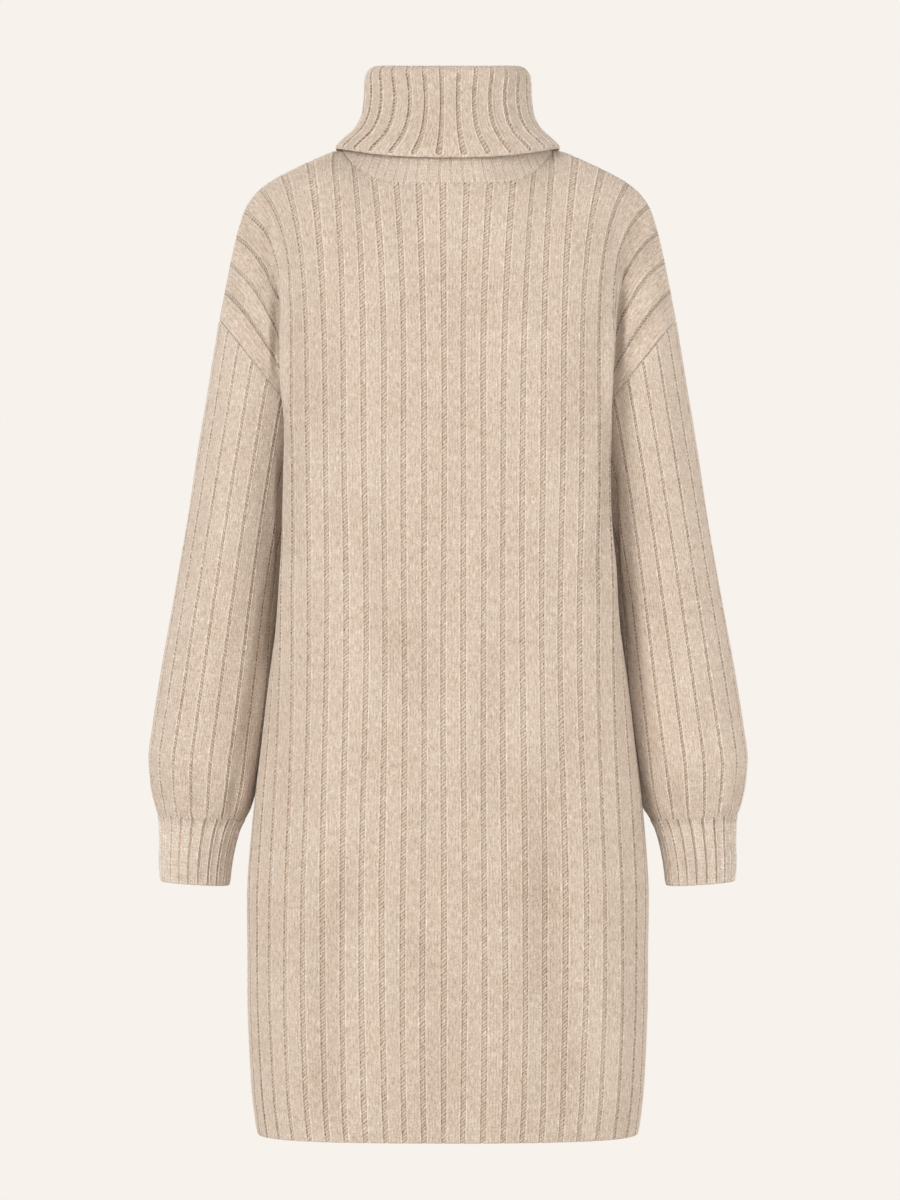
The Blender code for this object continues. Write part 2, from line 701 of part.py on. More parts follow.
def make_sleeve(name, mirrored):
    """A full sleeve, from the armhole seam to the cuff seam."""
    full = 2 * math.pi
    rib_turns, rib_depths, plain_turns = ring_places(SLEEVE_RIBS)
    wall = Wall()
    places = np.arange(len(SLEEVE_RINGS), dtype=float)
    outside, inside = add_tube(
        wall, SLEEVE_RINGS, places, rib_turns, rib_depths, plain_turns
    )
    shares = np.array(PANEL_HIGH_SHARES)
    front = armhole_seam(shares * math.pi, "front", SLEEVE_LEAN)
    back = armhole_seam(shares[-2:0:-1] * math.pi, "back", SLEEVE_LEAN)
    seam_at = np.concatenate([shares * math.pi, full - shares[-2:0:-1] * math.pi])
    points = np.concatenate([front[0] + front[2] * SEAM_GAP / 2,
                             back[0] + back[2] * SEAM_GAP / 2])
    normals = np.concatenate([front[1], back[1]])
    seam_out = wall.row(points)
    seam_in = wall.row(points - normals * WALL)
    wall.zip(seam_out, seam_at, outside[0], rib_turns, closed=full)
    wall.zip(inside[0], plain_turns, seam_in, seam_at, closed=full)
    top = len(shares)
    wall.strip(seam_in[:top], seam_out[:top])
    wall.strip((seam_in[top - 1:] + seam_in[:1])[::-1],
               (seam_out[top - 1:] + seam_out[:1])[::-1])
    wall.zip(outside[-1], rib_turns, inside[-1], plain_turns, closed=full)
    return make_object(name, wall, mirrored)


def make_cuff(name, mirrored):
    """A ribbed cuff, open at the wrist."""
    full = 2 * math.pi
    rib_turns, rib_depths, plain_turns = ring_places(SLEEVE_RIBS)
    wall = Wall()
    places = np.arange(len(CUFF_RINGS), dtype=float)
    outside, inside = add_tube(
        wall, CUFF_RINGS, places, rib_turns, rib_depths, plain_turns
    )
    wall.zip(inside[0], plain_turns, outside[0], rib_turns, closed=full)
    wall.zip(outside[-1], rib_turns, inside[-1], plain_turns, closed=full)
    return make_object(name, wall, mirrored)


def ring_normals(previous, points, following):
    """Normals of a ring between its two neighbours, round a closed tube."""
    along = following - previous
    round_it = np.roll(points, -1, axis=0) - np.roll(points, 1, axis=0)
    return unit(np.cross(along, round_it))


def base_rings(wall, ribs, depth):
    """Adds a ring at the neckline: its front, its back, and the ring with its turns."""
    (front, front_turns), (back, back_turns) = collar_base(ribs, depth)
    front, back = wall.row(front), wall.row(back)
    ring = front + back[::-1]
    turns = np.concatenate([front_turns, back_turns[::-1]])
    start = int(np.argmin(np.abs(turns - NECK_FIRST_CHANNEL * 2 * math.pi
                                 / NECK_RIBS_ROUND)))
    full = 2 * math.pi
    turns = np.concatenate([turns[start:], turns[:start] + full])
    return front, [front[0]] + back + [front[-1]], ring[start:] + ring[:start], turns


def make_roll_neck(name):
    """The roll neck: one closed wall, ribbed where it faces out, plain inside."""
    full = 2 * math.pi
    rib = full / NECK_RIBS_ROUND
    channels = np.arange(NECK_RIBS_ROUND) + NECK_FIRST_CHANNEL
    places, depths = channel_columns(channels)
    rib_turns, plain_turns = places * rib, channels * rib

    wall = Wall()
    at_neck = [
        ribs[np.abs(ribs) <= NECK_RIBS] for ribs in panel_columns()[::2]
    ]
    base = base_rings(wall, at_neck[0], 0.0)
    plain_base = base_rings(wall, at_neck[1], WALL)
    for half in (0, 1):
        wall.zip(base[half], at_neck[0], plain_base[half], at_neck[1])

    stand = [collar_ring(row, rib_turns) for row in STAND_OUTSIDE]
    stand_rows = []
    for k, ring in enumerate(stand):
        following = stand[min(k + 1, len(stand) - 1)]
        normals = -ring_normals(stand[max(k - 1, 0)], ring, following)
        depth = depths if k < len(stand) - 1 else depths * 0.0
        stand_rows.append(wall.row(ring - normals * depth[:, None]))

    fall = [collar_ring(row, rib_turns) for row in FALL_OUTSIDE]
    fall_rows = []
    for k, ring in enumerate(fall):
        following = fall[min(k + 1, len(fall) - 1)]
        normals = -ring_normals(fall[max(k - 1, 0)], ring, following)
        sunk = 0.0 if k in (0, 1, len(fall) - 1) else 1.0
        fall_rows.append(wall.row(ring - normals * depths[:, None] * sunk))

    under_rows = [wall.row(collar_ring(row, plain_turns)) for row in FALL_INSIDE]
    inner_rows = [wall.row(collar_ring(row, plain_turns)) for row in STAND_INSIDE]

    for rows in (stand_rows, under_rows, fall_rows, inner_rows):
        for one, following in zip(rows, rows[1:]):
            wall.band(one, following, closed=True)
    joins = (
        (base[2], base[3], stand_rows[0], rib_turns),
        (stand_rows[-1], rib_turns, under_rows[0], plain_turns),
        (under_rows[-1], plain_turns, fall_rows[0], rib_turns),
        (fall_rows[-1], rib_turns, inner_rows[0], plain_turns),
        (inner_rows[-1], plain_turns, plain_base[2], plain_base[3]),
    )
    for one, one_at, following, following_at in joins:
        wall.zip(one, one_at, following, following_at, closed=full)
    return make_object(name, wall)


def clear_scene():
    """Starts from an empty scene."""
    for obj in list(bpy.data.objects):
        bpy.data.objects.remove(obj, do_unlink=True)


def main():
    """Builds the dress, piece by piece."""
    clear_scene()
    make_panel("front", "front")
    make_panel("back", "back")
    for side, mirrored in (("left", False), ("right", True)):
        make_sleeve("sleeve_" + side, mirrored)
        make_cuff("cuff_" + side, mirrored)
    make_roll_neck("roll_neck")


main()
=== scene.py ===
"""A roll-neck sweater dress in wide rib knit, filled out as when worn.

Each piece is a thin closed wall of knitting. Its outer face is a grid of points: a
smooth surface worked out from a short table of sections, to which the soft folds, the
ribs and the grooves along the seams are added. Lengths are metres unless a name or a
column says otherwise. +Z is up, the wearer's front faces -Y and the wearer's left is
at +X.
"""

import math

import bpy
import numpy as np
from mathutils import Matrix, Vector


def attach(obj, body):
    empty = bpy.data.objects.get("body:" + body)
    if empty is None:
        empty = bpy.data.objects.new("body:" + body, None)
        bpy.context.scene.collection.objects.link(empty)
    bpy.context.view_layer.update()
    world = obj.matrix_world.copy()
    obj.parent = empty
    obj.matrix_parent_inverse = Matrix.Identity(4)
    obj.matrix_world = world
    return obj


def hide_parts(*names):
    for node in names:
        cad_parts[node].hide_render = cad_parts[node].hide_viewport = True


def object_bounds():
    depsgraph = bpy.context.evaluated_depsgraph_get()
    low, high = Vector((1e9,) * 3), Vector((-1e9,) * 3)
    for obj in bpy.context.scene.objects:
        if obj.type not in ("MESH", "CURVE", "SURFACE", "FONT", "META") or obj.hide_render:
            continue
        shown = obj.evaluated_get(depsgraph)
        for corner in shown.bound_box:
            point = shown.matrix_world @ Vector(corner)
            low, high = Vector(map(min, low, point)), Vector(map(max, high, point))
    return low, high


bl_info = {
    "name": "Rib-knit Sweater Dress",
    "version": (1, 0, 0),
    "blender": (4, 5, 0),
    "location": "View3D > Sidebar > Sweater Dress",
    "description": "Knits the surface of a roll-neck sweater dress round its solids",
    "category": "Object",
}

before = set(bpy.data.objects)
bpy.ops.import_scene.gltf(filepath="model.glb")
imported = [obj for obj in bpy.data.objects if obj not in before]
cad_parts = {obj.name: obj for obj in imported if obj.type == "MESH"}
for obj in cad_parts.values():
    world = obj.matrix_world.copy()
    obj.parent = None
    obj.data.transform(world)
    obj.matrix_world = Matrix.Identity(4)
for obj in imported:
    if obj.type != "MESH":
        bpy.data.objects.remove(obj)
CAD_BOX = [list(corner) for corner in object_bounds()]

MM = 0.001
FULL_TURN = 2.0 * math.pi
SIGN = {"front": -1.0, "back": 1.0}     # the side of y = 0 on which each lies
PLAIN_NUMBERS = ("square", "power", "rib", "side_of_dress", "turn", "drift")

# --- the cloth
WALL = 3.0 * MM
SEAM_GAP = 0.06 * MM
SEAM_REACH = 2.4 * MM          # how far from a seam its groove starts
ARMHOLE_GROOVE = 0.7 * MM
LAST_ROW = 0.15 * MM           # a row so close to a linked edge keeps the shading even
HEM_FADE = 3.0 * MM            # the channels grow shallow so near a free edge
FREE_EDGE_RELIEF = 0.35        # the share of the ribs' relief that is left at the edge
WALES_PER_RIB = 7              # five knit and two purl
# one rib across, in shares of a rib from the middle of its channel
CHANNEL_FLOOR = 0.095
CHANNEL_EDGE = 0.14
EDGE_WALE = 0.165
EDGE_WALE_WIDTH = 0.028
MIDDLE_WALE_WIDTH = 0.045
MIDDLE_DIP = 0.5               # depth of the dip there, next to the edge wale's height
COLUMNS_IN_HALF_RIB = (0.0, 0.09, 0.135, 0.165, 0.2, 0.3, 0.43)
# in a rib wider than the usual one the columns up to NARROW_SHARE keep their width
USUAL_RIB = 14.8 * MM
NARROW_SHARE = 0.2
NARROWEST = 0.5
NARROW_FROM = 6.5              # ribs from the middle: nearer to it all keep their width
WANDER = 0.022                 # how far the wales stray, in ribs
WANDER_WAVES = ((0.9, 0.06), (2.1, -0.11))   # radians a rib, and metres a radian up
# how crisp the ribs are, 0 on the soft body and 1 where they are pulled tight; crisper
# ribs get more painted shade in their channels and between their wales
HEM_CRISP = 0.35
SIDE_CRISP = 0.5
CAP_CRISP = 0.2
SLEEVE_CRISP = 0.7
CUFF_CRISP = 1.3
FALL_CRISP = 0.35
STAND_CRISP = 0.6
# how sharply the lines of painted shade and highlight beside the channels show, from
# 0 to 1; the body's by its crispness
SLEEVE_LINES = 0.5
CUFF_LINES = 1.0
FALL_LINES = 1.0
STAND_LINES = 0.6
# on the sleeves the channels close up, by so much of a rib a side
SLEEVE_PINCH = 0.048
CUFF_PINCH = 0.008
# painted light on the stand, which lies in the fall's shade, and on the cuffs and sleeves
STAND_PAINTED_LIGHT = 0.85
CUFF_PAINTED_LIGHT = 1.4
SLEEVE_PAINTED_LIGHT = 0.3
CUFF_PAINTED_LIGHT_FADE = 10.0 * MM     # from the cuff's seam to where its painted light is full
SLEEVE_CREASE = 0.5            # how much painted shade a sleeve's folds get, next to the body's
# how high the ribs' relief and their proud wales are, next to the body's
CUFF_RELIEF = 1.5
STAND_RELIEF = 0.4
FALL_RELIEF = 1.2
TUBE_PROUD = 1.4
ROLL_PROUD = 2.0
HEM_CRISP_TOP = 46.0 * MM      # the hem is crisp up to here
HEM_CRISP_FADE = 5.0 * MM
RIB_AT_SIDE = 18.0 * MM        # width of a rib at the side seam
LINK_AT = 0.6 * MM             # from a seam to its row of linking stitches
LINK_WIDTH = 1.2 * MM
RIM_STEP = 0.3                 # from row to row of a free edge, in walls

# --- how the yarn and the stitches show
CHANNEL_SHOWN = (0.112, 0.142)           # a channel's purl bumps and painted shade end between these
LOOP_WAVE = (0.35, 0.65)                 # a loop's height swings so far, about this
PURL_BUMP = (-0.7, 0.7, 0.15, 0.85)      # from these values of its wave to these heights
EDGE_LINE = (EDGE_WALE + 0.005, 0.042)   # the painted highlight's line: middle and reach, in ribs from the channel
# the painted shade's line beside it, the same way
GROOVE_LINE = (0.104, 0.046)
STITCH_WANDER = 1.6                      # rows
KNIT_SLANT = -0.55                       # rows across a wale
PURL_SLANT = -5.6                        # rows across a rib
PURL_COARSER = 0.82
SUNK_STRETCH = (9.0, 0.85, 1.0)          # patches of loops that sink in, per rib and row
SUNK_BETWEEN = (0.36, 0.64)
STREAK_STRETCH = (15.0, 0.38, 1.0)
FIBRE_CURLS = ((3.3, 0.0), (2.9, 7.0))   # millimetres across, and where the noise starts
CURL_STRETCH = (1.2, 1.2, 0.75)
CURL_WIDTH = 0.1
BLOT_SIZE = 4.5 * MM
PATCH_SIZE = 60.0 * MM
FLECK_SIZE = 1.3 * MM
# how much streaks, blots, flecks and patches count, and the tone without them
MELANGE = (0.46, 0.07, 0.22, 0.10, 0.10)
DARK_BELOW = (0.38, 0.52)
PALE_ABOVE = (0.53, 0.66)
# shade: what a thing's amount is multiplied by, and what is there without it
BETWEEN_LOOPS = (-0.10, 1.03)
CHANNEL_DARK = (0.40, -0.11)             # painted shade between a channel's bumps; taken off
CHANNEL_CRISP = 0.13                     # more of it where the ribs are crisp
SUNK_PAINTED_SHADE = 0.42                         # painted shade of loops that sink in beside a channel; taken off
SUNK_SHARP = -0.6                        # less of it where the lines are sharp
LEFT_PAINTED_SHADOW = (0.24, 0.08)                 # painted shadow at a channel's left, by how sharp; taken off
LEFT_SHADOW_BY_SUNK = -0.08
LEFT_BLEND = 0.03                        # half of what left and right go over in, in ribs
PROUD_HIGHLIGHT = (0.10, 0.32)                # painted highlight on the wale beside a channel, by how sharp
# less of that painted highlight at a channel's left
LEFT_HIGHLIGHT = -0.05
CURLS_PALE = (0.14, -0.13)               # pale and dark curls
# painted light along a row of linking stitches, and painted shade in its holes
LINKED_PAINTED_LIGHT = 0.12
HOLE_PAINTED_SHADE = -0.42
HOLES_BETWEEN = (0.4, 0.9)               # the values of their wave where they start and end
WALE_SIDES = (0.06, 0.13)                # painted shade between wales, by how crisp; taken off
WALE_SIDE_POWER = 4.0
CREASE_SHADE = 0.20
TINTED_FROM_TO = (0.35, 1.35)            # the shades between which the tint goes over
WARM_TINT = (1.20, 1.04, 0.87, 1.0)      # of light from deep between the loops
HIGHLIGHT_TINT = (0.86, 0.955, 1.035, 1.0)    # of the painted highlights, where the nap stands proud
FIBRE_RISES = (0.5, -0.3, -0.9)          # of pale curls, dark curls and holes, in loops
BUMP_STRENGTH = 0.9
WOOL_SURFACE = (
    ("Roughness", 0.95),
    ("Specular IOR Level", 0.2),
    ("Sheen Weight", 0.25),
    ("Sheen Roughness", 0.5),
    ("Sheen Tint", (1.0, 0.96, 0.9, 1.0)),
)

# --- how many ribs each piece has
HALF_PANEL_RIBS = 13.0
NECK_RIBS = 5.0
CAP_START_RIB = 8.7
ONE_SIDE = -0.2                # the channels of the front and back lie so many ribs over
ONE_SIDE_TO = 6.0              # as far out as this rib, and less beyond it
SLEEVE_RIBS = 18
CUFF_RIBS = 22
NECK_RIBS_ROUND = 28
NECK_FIRST_CHANNEL = -0.35

# --- the body, sections from the hem up to the underarm (millimetres)
BODY_COLUMNS = ("height", "box", "side", "front", "back", "square")
BODY_SECTIONS = (
    (-893.0, 172.5, 172.5, 96.0, 90.0, 2.70),
    (-880.0, 174.5, 174.5, 97.5, 91.0, 2.70),
    (-849.0, 178.0, 178.0, 99.0, 92.5, 2.70),
    (-760.0, 181.5, 181.5, 100.0, 94.0, 2.75),
    (-680.0, 180.0, 180.0, 100.0, 94.0, 2.85),
    (-600.0, 174.5, 174.0, 99.5, 92.5, 3.00),
    (-530.0, 169.0, 165.0, 99.0, 89.5, 3.20),
    (-460.0, 164.0, 155.5, 99.0, 87.0, 3.50),
    (-390.0, 160.5, 146.0, 100.0, 86.0, 3.80),
    (-310.0, 157.5, 133.5, 102.0, 88.0, 4.00),
    (-251.0, 156.0, 129.5, 103.0, 90.0, 4.10),
)
HEM_HEIGHT = -893.0 * MM
HOLLOW_REACH = 75.0 * MM
HOLLOW_FLATNESS = 2.6
HOLLOW_EDGE = 2.0
UNDERARM_HEIGHT = -251.0 * MM
PANEL_RISE = 225.0 * MM
FAN_COLUMNS = ("rib", "power")
FAN_POWERS = (
    (0.0, 2.5),
    (6.0, 2.5),
    (7.5, 4.0),
    (8.7, 6.5),
    (13.0, 6.5),
)
CORNER_SHIFTS = (-1.0, -0.5, 0.5, 1.0)   # ribs
CORNER_REACH = 30.0 * MM
CORNER_WIDTH = 1.3
CORNER_SHARE = 0.85
FOLD_FREE_RIBS = 1.2           # the folds fade out so near a side seam
FOLD_FREE_TOP = 22.0 * MM      # and so far below the top
CAP_BLEND = 1.2
CAP_LATE = 1.3

# --- neckline and shoulder
NECK_HALF_WIDTH = 96.0 * MM
NECK_HALF_DEPTH = {"front": 68.0 * MM, "back": 60.0 * MM}
NECK_HEIGHT = {"front": -35.0 * MM, "back": -6.0 * MM}
NECK_SIDE_HEIGHT = -0.5 * MM
NECKLINE_POWER = 4.8
NECK_BY_WIDTH = 0.7
NECK_SEAM_OUT = 0.6
NECK_SEAM_UP = (0.25, 0.85)
SHOULDER_COLUMNS = ("out", "height")
SHOULDER_LINE = (
    (96.0, -0.5),
    (104.0, -1.5),
    (114.0, -5.5),
    (138.0, -16.4),
    (160.0, -28.0),
    (175.0, -40.0),
    (184.0, -53.5),
    (190.5, -73.0),
    (197.5, -103.0),
    (207.5, -155.0),
)

# --- armhole
ARMHOLE_TOP = (207.5 * MM, -155.0 * MM)
ARMHOLE_BOTTOM = (130.0 * MM, -251.0 * MM)
ARMHOLE_HALF_DEPTH = 53.0 * MM
ARMHOLE_FACING = 0.9
LEAN_POWER = 1.5
BODY_LEAN = 1.25
SLEEVE_LEAN = 0.8
UNDERARM_RIBS = 4.5
UNDERARM_TURN = 1.2            # the same reach on a sleeve, in radians
UNDERARM_REACH = 120.0 * MM
THINNER_AT_UNDERARM = 0.5

# --- sleeve and cuff, each ring from its outer point to its inner point (mm)
# The first ring is the armhole's own ellipse.
SLEEVE_COLUMNS = ("outer_x", "outer_z", "inner_x", "inner_z", "half_depth")
SLEEVE_RINGS = (
    (207.5, -155.0, 130.0, -251.0, 53.0),
    (209.5, -168.0, 132.5, -262.0, 53.5),
    (222.0, -245.0, 138.0, -292.0, 54.0),
    (233.5, -315.0, 145.5, -340.0, 53.5),
    (247.0, -395.0, 154.0, -407.0, 52.5),
    (259.5, -468.0, 162.0, -478.0, 52.0),
    (268.0, -522.0, 168.5, -532.0, 52.5),
    (272.0, -553.0, 172.3, -561.0, 52.0),
    (271.0, -575.0, 175.5, -582.0, 49.5),
    (267.5, -592.0, 180.0, -597.0, 45.0),
    (263.5, -603.0, 184.0, -608.0, 40.5),
)
FIRST_SLEEVE_RING, FULLEST_RING = 1, 6   # a sleeve's direction goes through their middles
CUFF_RINGS = (
    (263.5, -603.0, 184.0, -608.0, 40.5),
    (261.9, -611.5, 188.4, -616.0, 38.0),
    (261.6, -625.0, 192.6, -629.5, 35.8),
    (261.8, -646.0, 196.6, -650.0, 33.4),
    (261.0, -663.0, 198.5, -667.0, 32.0),
)

# --- roll neck, rings of one closed wall, starting at the neckline (mm)
ROLL_COLUMNS = ("half_width", "front", "back", "z_front", "z_side", "z_back", "power")
STAND_OUTSIDE = (
    (96.0, 68.0, 60.0, -34.97, -0.47, -5.97, 4.8),
    (88.0, 68.0, 60.5, -20.0, 7.5, 5.0, 4.0),
    (78.5, 67.2, 60.5, 0.0, 17.5, 18.0, 3.0),
    (70.0, 66.0, 61.0, 25.0, 33.0, 34.0, 2.5),
    (66.0, 64.5, 61.5, 56.5, 62.0, 57.0, 2.5),
)
FALL_INSIDE = (
    (69.0, 68.5, 65.5, 65.0, 71.5, 66.5, 2.5),
    (72.4, 72.0, 69.0, 54.0, 60.0, 55.0, 2.5),
    (73.6, 72.5, 70.0, 28.0, 34.5, 32.0, 2.5),
    (82.5, 72.2, 72.0, 5.0, 16.8, 10.0, 2.5),
    (99.6, 71.8, 74.5, -12.6, 0.0, -8.5, 2.5),
)
FALL_OUTSIDE = (
    (101.6, 74.7, 77.4, -13.0, 0.9, -9.0, 2.5),
    (101.0, 74.9, 77.3, -9.7, 3.0, -6.0, 2.5),
    (93.0, 75.0, 75.8, -3.5, 11.0, 2.0, 2.5),
    (84.2, 75.4, 74.9, 5.5, 19.2, 11.0, 2.5),
    (77.6, 75.6, 73.4, 22.0, 33.0, 26.0, 2.5),
    (75.4, 75.0, 72.0, 43.0, 50.0, 45.0, 2.5),
    (75.0, 74.6, 71.6, 59.5, 64.8, 61.0, 2.5),
    (71.8, 71.4, 68.4, 67.0, 72.2, 68.5, 2.5),
    (67.2, 66.8, 63.8, 69.6, 74.8, 71.4, 2.5),
)
STAND_INSIDE = (
    (63.6, 63.0, 60.0, 64.5, 69.8, 66.0, 2.5),
    (63.0, 61.6, 58.6, 54.0, 60.0, 55.0, 2.5),
    (67.0, 62.0, 58.0, 25.0, 31.0, 34.0, 2.5),
    (76.0, 62.5, 57.5, 0.0, 15.5, 18.0, 3.0),
    (94.3, 65.1, 57.2, -35.5, -2.7, -6.5, 4.8),
)

ROLL_RINGS = STAND_OUTSIDE + FALL_INSIDE + FALL_OUTSIDE + STAND_INSIDE
FREE_EDGE_PLACE = len(STAND_OUTSIDE) + len(FALL_INSIDE) - 0.5
ROLL_RIB = 16.8 * MM
ROLL_CHANNEL_END = 5.6 * MM    # from the free edge to where the channels start to close
ROLL_EDGE = 0.45 * MM
ROLL_EDGE_AT = 1.0 * MM
ROLL_EDGE_WIDTH = 0.9 * MM
ROLL_EDGE_SHARE = 0.8          # how far the edge's ridge gets the proud wale's painted highlight
BIND_OFF = 0.5                 # how much the row beside the free edge shows as linking
BIND_OFF_AT = 2.6 * MM
BIND_OFF_WIDTH = 0.9 * MM
TURN_FADE = 0.3                # where the roll turns over, its ribs lie flat
INSIDE_FLAT = 0.8              # inside, the ribs lose so much of their relief
INSIDE_FLAT_FROM = 2.2         # rings before the top, and over how many
INSIDE_FLAT_FADE = 1.2
ROLL_EDGE_ROWS = np.arange(-1.6, 8.8, 0.8) * MM   # extra rows, from the free edge
FALL_SWAY = 0.08               # halfway down, the fall's ribs bend in by so much turn
FALL_SWAY_AT = 14.6            # counted in rings
FALL_SWAY_WIDTH = 1.7

# --- soft folds (millimetres; depth is below zero for a trough)
# Each runs along a line from one point of the front's view to another.
FOLD_COLUMNS = ("side_of_dress", "x0", "z0", "x1", "z1", "width", "depth")
PANEL_FOLDS = (
    # at the front: towards the armholes, beside the chest, and up from the hem
    (-1, -150.5, -240.0, -157.5, -122.0, 3.6, -5.0),
    (-1, -143.5, -240.0, -150.0, -118.0, 6.0, 1.8),
    (-1, -158.0, -120.0, -172.0, -66.0, 6.5, -2.6),
    (-1, 150.5, -236.0, 158.5, -120.0, 3.6, -5.0),
    (-1, 143.5, -236.0, 151.0, -116.0, 6.0, 1.8),
    (-1, 159.0, -118.0, 173.0, -68.0, 6.5, -2.6),
    (-1, -148.0, -150.0, -196.0, -62.0, 9.0, -2.2),
    (-1, -162.0, -185.0, -205.0, -118.0, 8.0, -2.0),
    (-1, 150.0, -160.0, 192.0, -66.0, 9.0, -2.0),
    (-1, 164.0, -190.0, 204.0, -124.0, 7.0, -2.2),
    (-1, -146.0, -255.0, -132.0, -380.0, 12.0, -1.6),
    (-1, 146.0, -265.0, 134.0, -400.0, 11.0, -1.8),
    (-1, -96.0, -640.0, -118.0, -880.0, 17.0, -1.8),
    (-1, 84.0, -600.0, 106.0, -880.0, 19.0, -1.6),
    (-1, -20.0, -700.0, -6.0, -890.0, 20.0, -1.2),
    (-1, -70.0, -330.0, -30.0, -520.0, 24.0, -1.0),
    (-1, 60.0, -420.0, 30.0, -590.0, 22.0, -1.0),
    # at the back: the same, and two across the small of the back
    (1, -150.5, -236.0, -158.0, -124.0, 3.8, -4.6),
    (1, -143.5, -236.0, -150.5, -120.0, 6.5, 1.6),
    (1, 150.5, -240.0, 158.0, -118.0, 3.8, -4.6),
    (1, 143.5, -240.0, 150.5, -116.0, 6.5, 1.6),
    (1, -150.0, -155.0, -194.0, -66.0, 9.0, -2.2),
    (1, 148.0, -150.0, 192.0, -64.0, 8.0, -2.2),
    (1, -142.0, -270.0, -130.0, -400.0, 12.0, -1.8),
    (1, 142.0, -260.0, 128.0, -390.0, 12.0, -1.6),
    (1, -120.0, -430.0, -20.0, -455.0, 15.0, -1.5),
    (1, 124.0, -450.0, 30.0, -480.0, 16.0, -1.4),
    (1, -74.0, -620.0, -92.0, -885.0, 18.0, -1.8),
    (1, 66.0, -650.0, 90.0, -885.0, 18.0, -1.6),
    (1, -30.0, -90.0, -60.0, -260.0, 20.0, -1.2),
)
# Beside the sleeves the body's sides swell, and the sleeves lean in to them.
SIDE_LOBE = 3.0 * MM
SIDE_LOBE_AT = 30.0 * MM
SIDE_LOBE_WIDTH = 22.0 * MM
SIDE_LOBE_FROM = 140.0 * MM
SIDE_LOBE_TOP = -380.0 * MM
SIDE_LOBE_END = -760.0 * MM
SIDE_LOBE_FADE = 100.0 * MM
SLEEVE_LEANS_IN = 2.0 * MM
SLEEVE_FOLDS_TOP = -200.0 * MM  # the sleeves have no folds above this
SLEEVE_FOLDS_FADE = 60.0 * MM
PANEL_UNEVEN = 0.7 * MM
SLEEVE_UNEVEN = 0.6 * MM
FOLD_SHOULDER_AT = 1.7         # cloth rises beside a trough so many widths away
FOLD_SHOULDER_WIDTH = 0.8
# how far past its ends a fold goes and over how much it fades, in shares of its length,
# and how high the cloth rises beside it, in shares of its depth
PANEL_FOLD_ENDS = (0.15, 0.35, 0.3)
SLEEVE_FOLD_ENDS = (0.2, 0.45, 0.25)
CREASE_DEPTH = 4.5 * MM        # where a fold is this deep, its painted shade is full
# the least it goes to, on a crest: below zero it is painted light
CREST = -0.25
SLEEVE_LEAN_TURN = 1.0         # radians either side of the inner point
SLEEVE_LEAN_TOP = -400.0 * MM
GATHER_REACH = 48.0 * MM       # how far above a cuff its gathers go
GATHER_DEPTH = 1.1 * MM
GATHERS_ROUND = (9.0, 14.0)
GATHER_AT = 0.42               # where they are deepest, in shares of their reach
GATHER_FADE = 0.25
# Each runs down a sleeve; turn is from the inner point over the front, in radians.
SLEEVE_RADIUS = 50.0 * MM
SLEEVES_DIFFER = 0.12          # by so much turn their folds lie apart
SLEEVE_FOLD_COLUMNS = ("turn", "z0", "z1", "drift", "width", "depth")
SLEEVE_FOLDS = (
    (0.62, -285.0, -372.0, -0.34, 6.0, -3.0),
    (0.40, -330.0, -470.0, 0.10, 6.0, -2.4),
    (0.55, -380.0, -560.0, 0.16, 8.0, -2.0),
    (1.25, -440.0, -585.0, 0.20, 9.0, -1.2),
    (2.10, -470.0, -598.0, -0.22, 10.0, -1.4),
    (3.00, -300.0, -470.0, 0.25, 12.0, -1.2),
    (4.00, -380.0, -590.0, 0.18, 10.0, -1.8),
    (4.90, -290.0, -420.0, 0.30, 9.0, -2.2),
    (5.35, -400.0, -595.0, -0.12, 8.0, -2.0),
)

# --- rows
PANEL_ROWS_BELOW = 168         # from the hem to the underarm
PANEL_ROWS_ABOVE = 74          # from the underarm to the shoulder
SLEEVE_ROW = 2.1 * MM
CUFF_ROW = 1.7 * MM
ROLL_ROW = 2.4 * MM
RIM_TURNS = (150.0, 120.0, 90.0, 60.0, 30.0)   # degrees round a free edge
INNER_EVERY = 4                # the plain inside has one row for so many outer ones
CURVE_STEPS = 181
RING_STEPS = 40                # for each ring, where a tube's rows are shared out
ROLL_STEPS = 60
# the last rows below a panel's top, and where its even rows end
TOP_ROWS = (0.0, LAST_ROW, 1.2 * MM, 2.6 * MM)
TOP_ROWS_FROM = 4.2 * MM

# --- the studio
FLOOR_RADIUS = 2.4
FLOOR_CORNERS = 96
FLOOR_PAINT = 0.25             # the floor's paint, as a share of the backdrop's colour
FLOOR_GLOW = 0.71
SKY_LIGHT = 0.58               # how strongly the backdrop lights, next to how it looks
FRAME_HEIGHT = 1.0908          # seen at the dress: 1200 rows of 0.909 mm
SENSOR = 36.0                  # millimetres
CAMERA_ACROSS = 0.0021
CAMERA_HEIGHT = -0.409
LAMPS = (                      # name, place, width, power in watts
    ("window", (-2.2, -3.0, 0.7), 1.4, 71.0),
    ("front", (0.1, -2.6, 0.35), 1.2, 9.0),
    ("collar", (0.0, -2.2, -0.4), 0.6, 4.0),
    ("right", (2.9, -1.2, 0.2), 1.6, 29.0),
    ("above", (0.0, -0.2, 2.2), 1.6, 8.0),
    ("behind left", (-2.0, 3.2, 0.9), 1.6, 62.0),
    ("behind right", (2.6, 2.6, -0.2), 1.6, 30.0),
)


# === sizes and colours that a user would change
def linear(code):
    """The linear colour of an sRGB hex code, by the sRGB curve."""
    shares = [int(code[k:k + 2], 16) / 255.0 for k in (1, 3, 5)]
    return tuple(
        s / 12.92 if s <= 0.04045 else ((s + 0.055) / 1.055) ** 2.4 for s in shares
    )


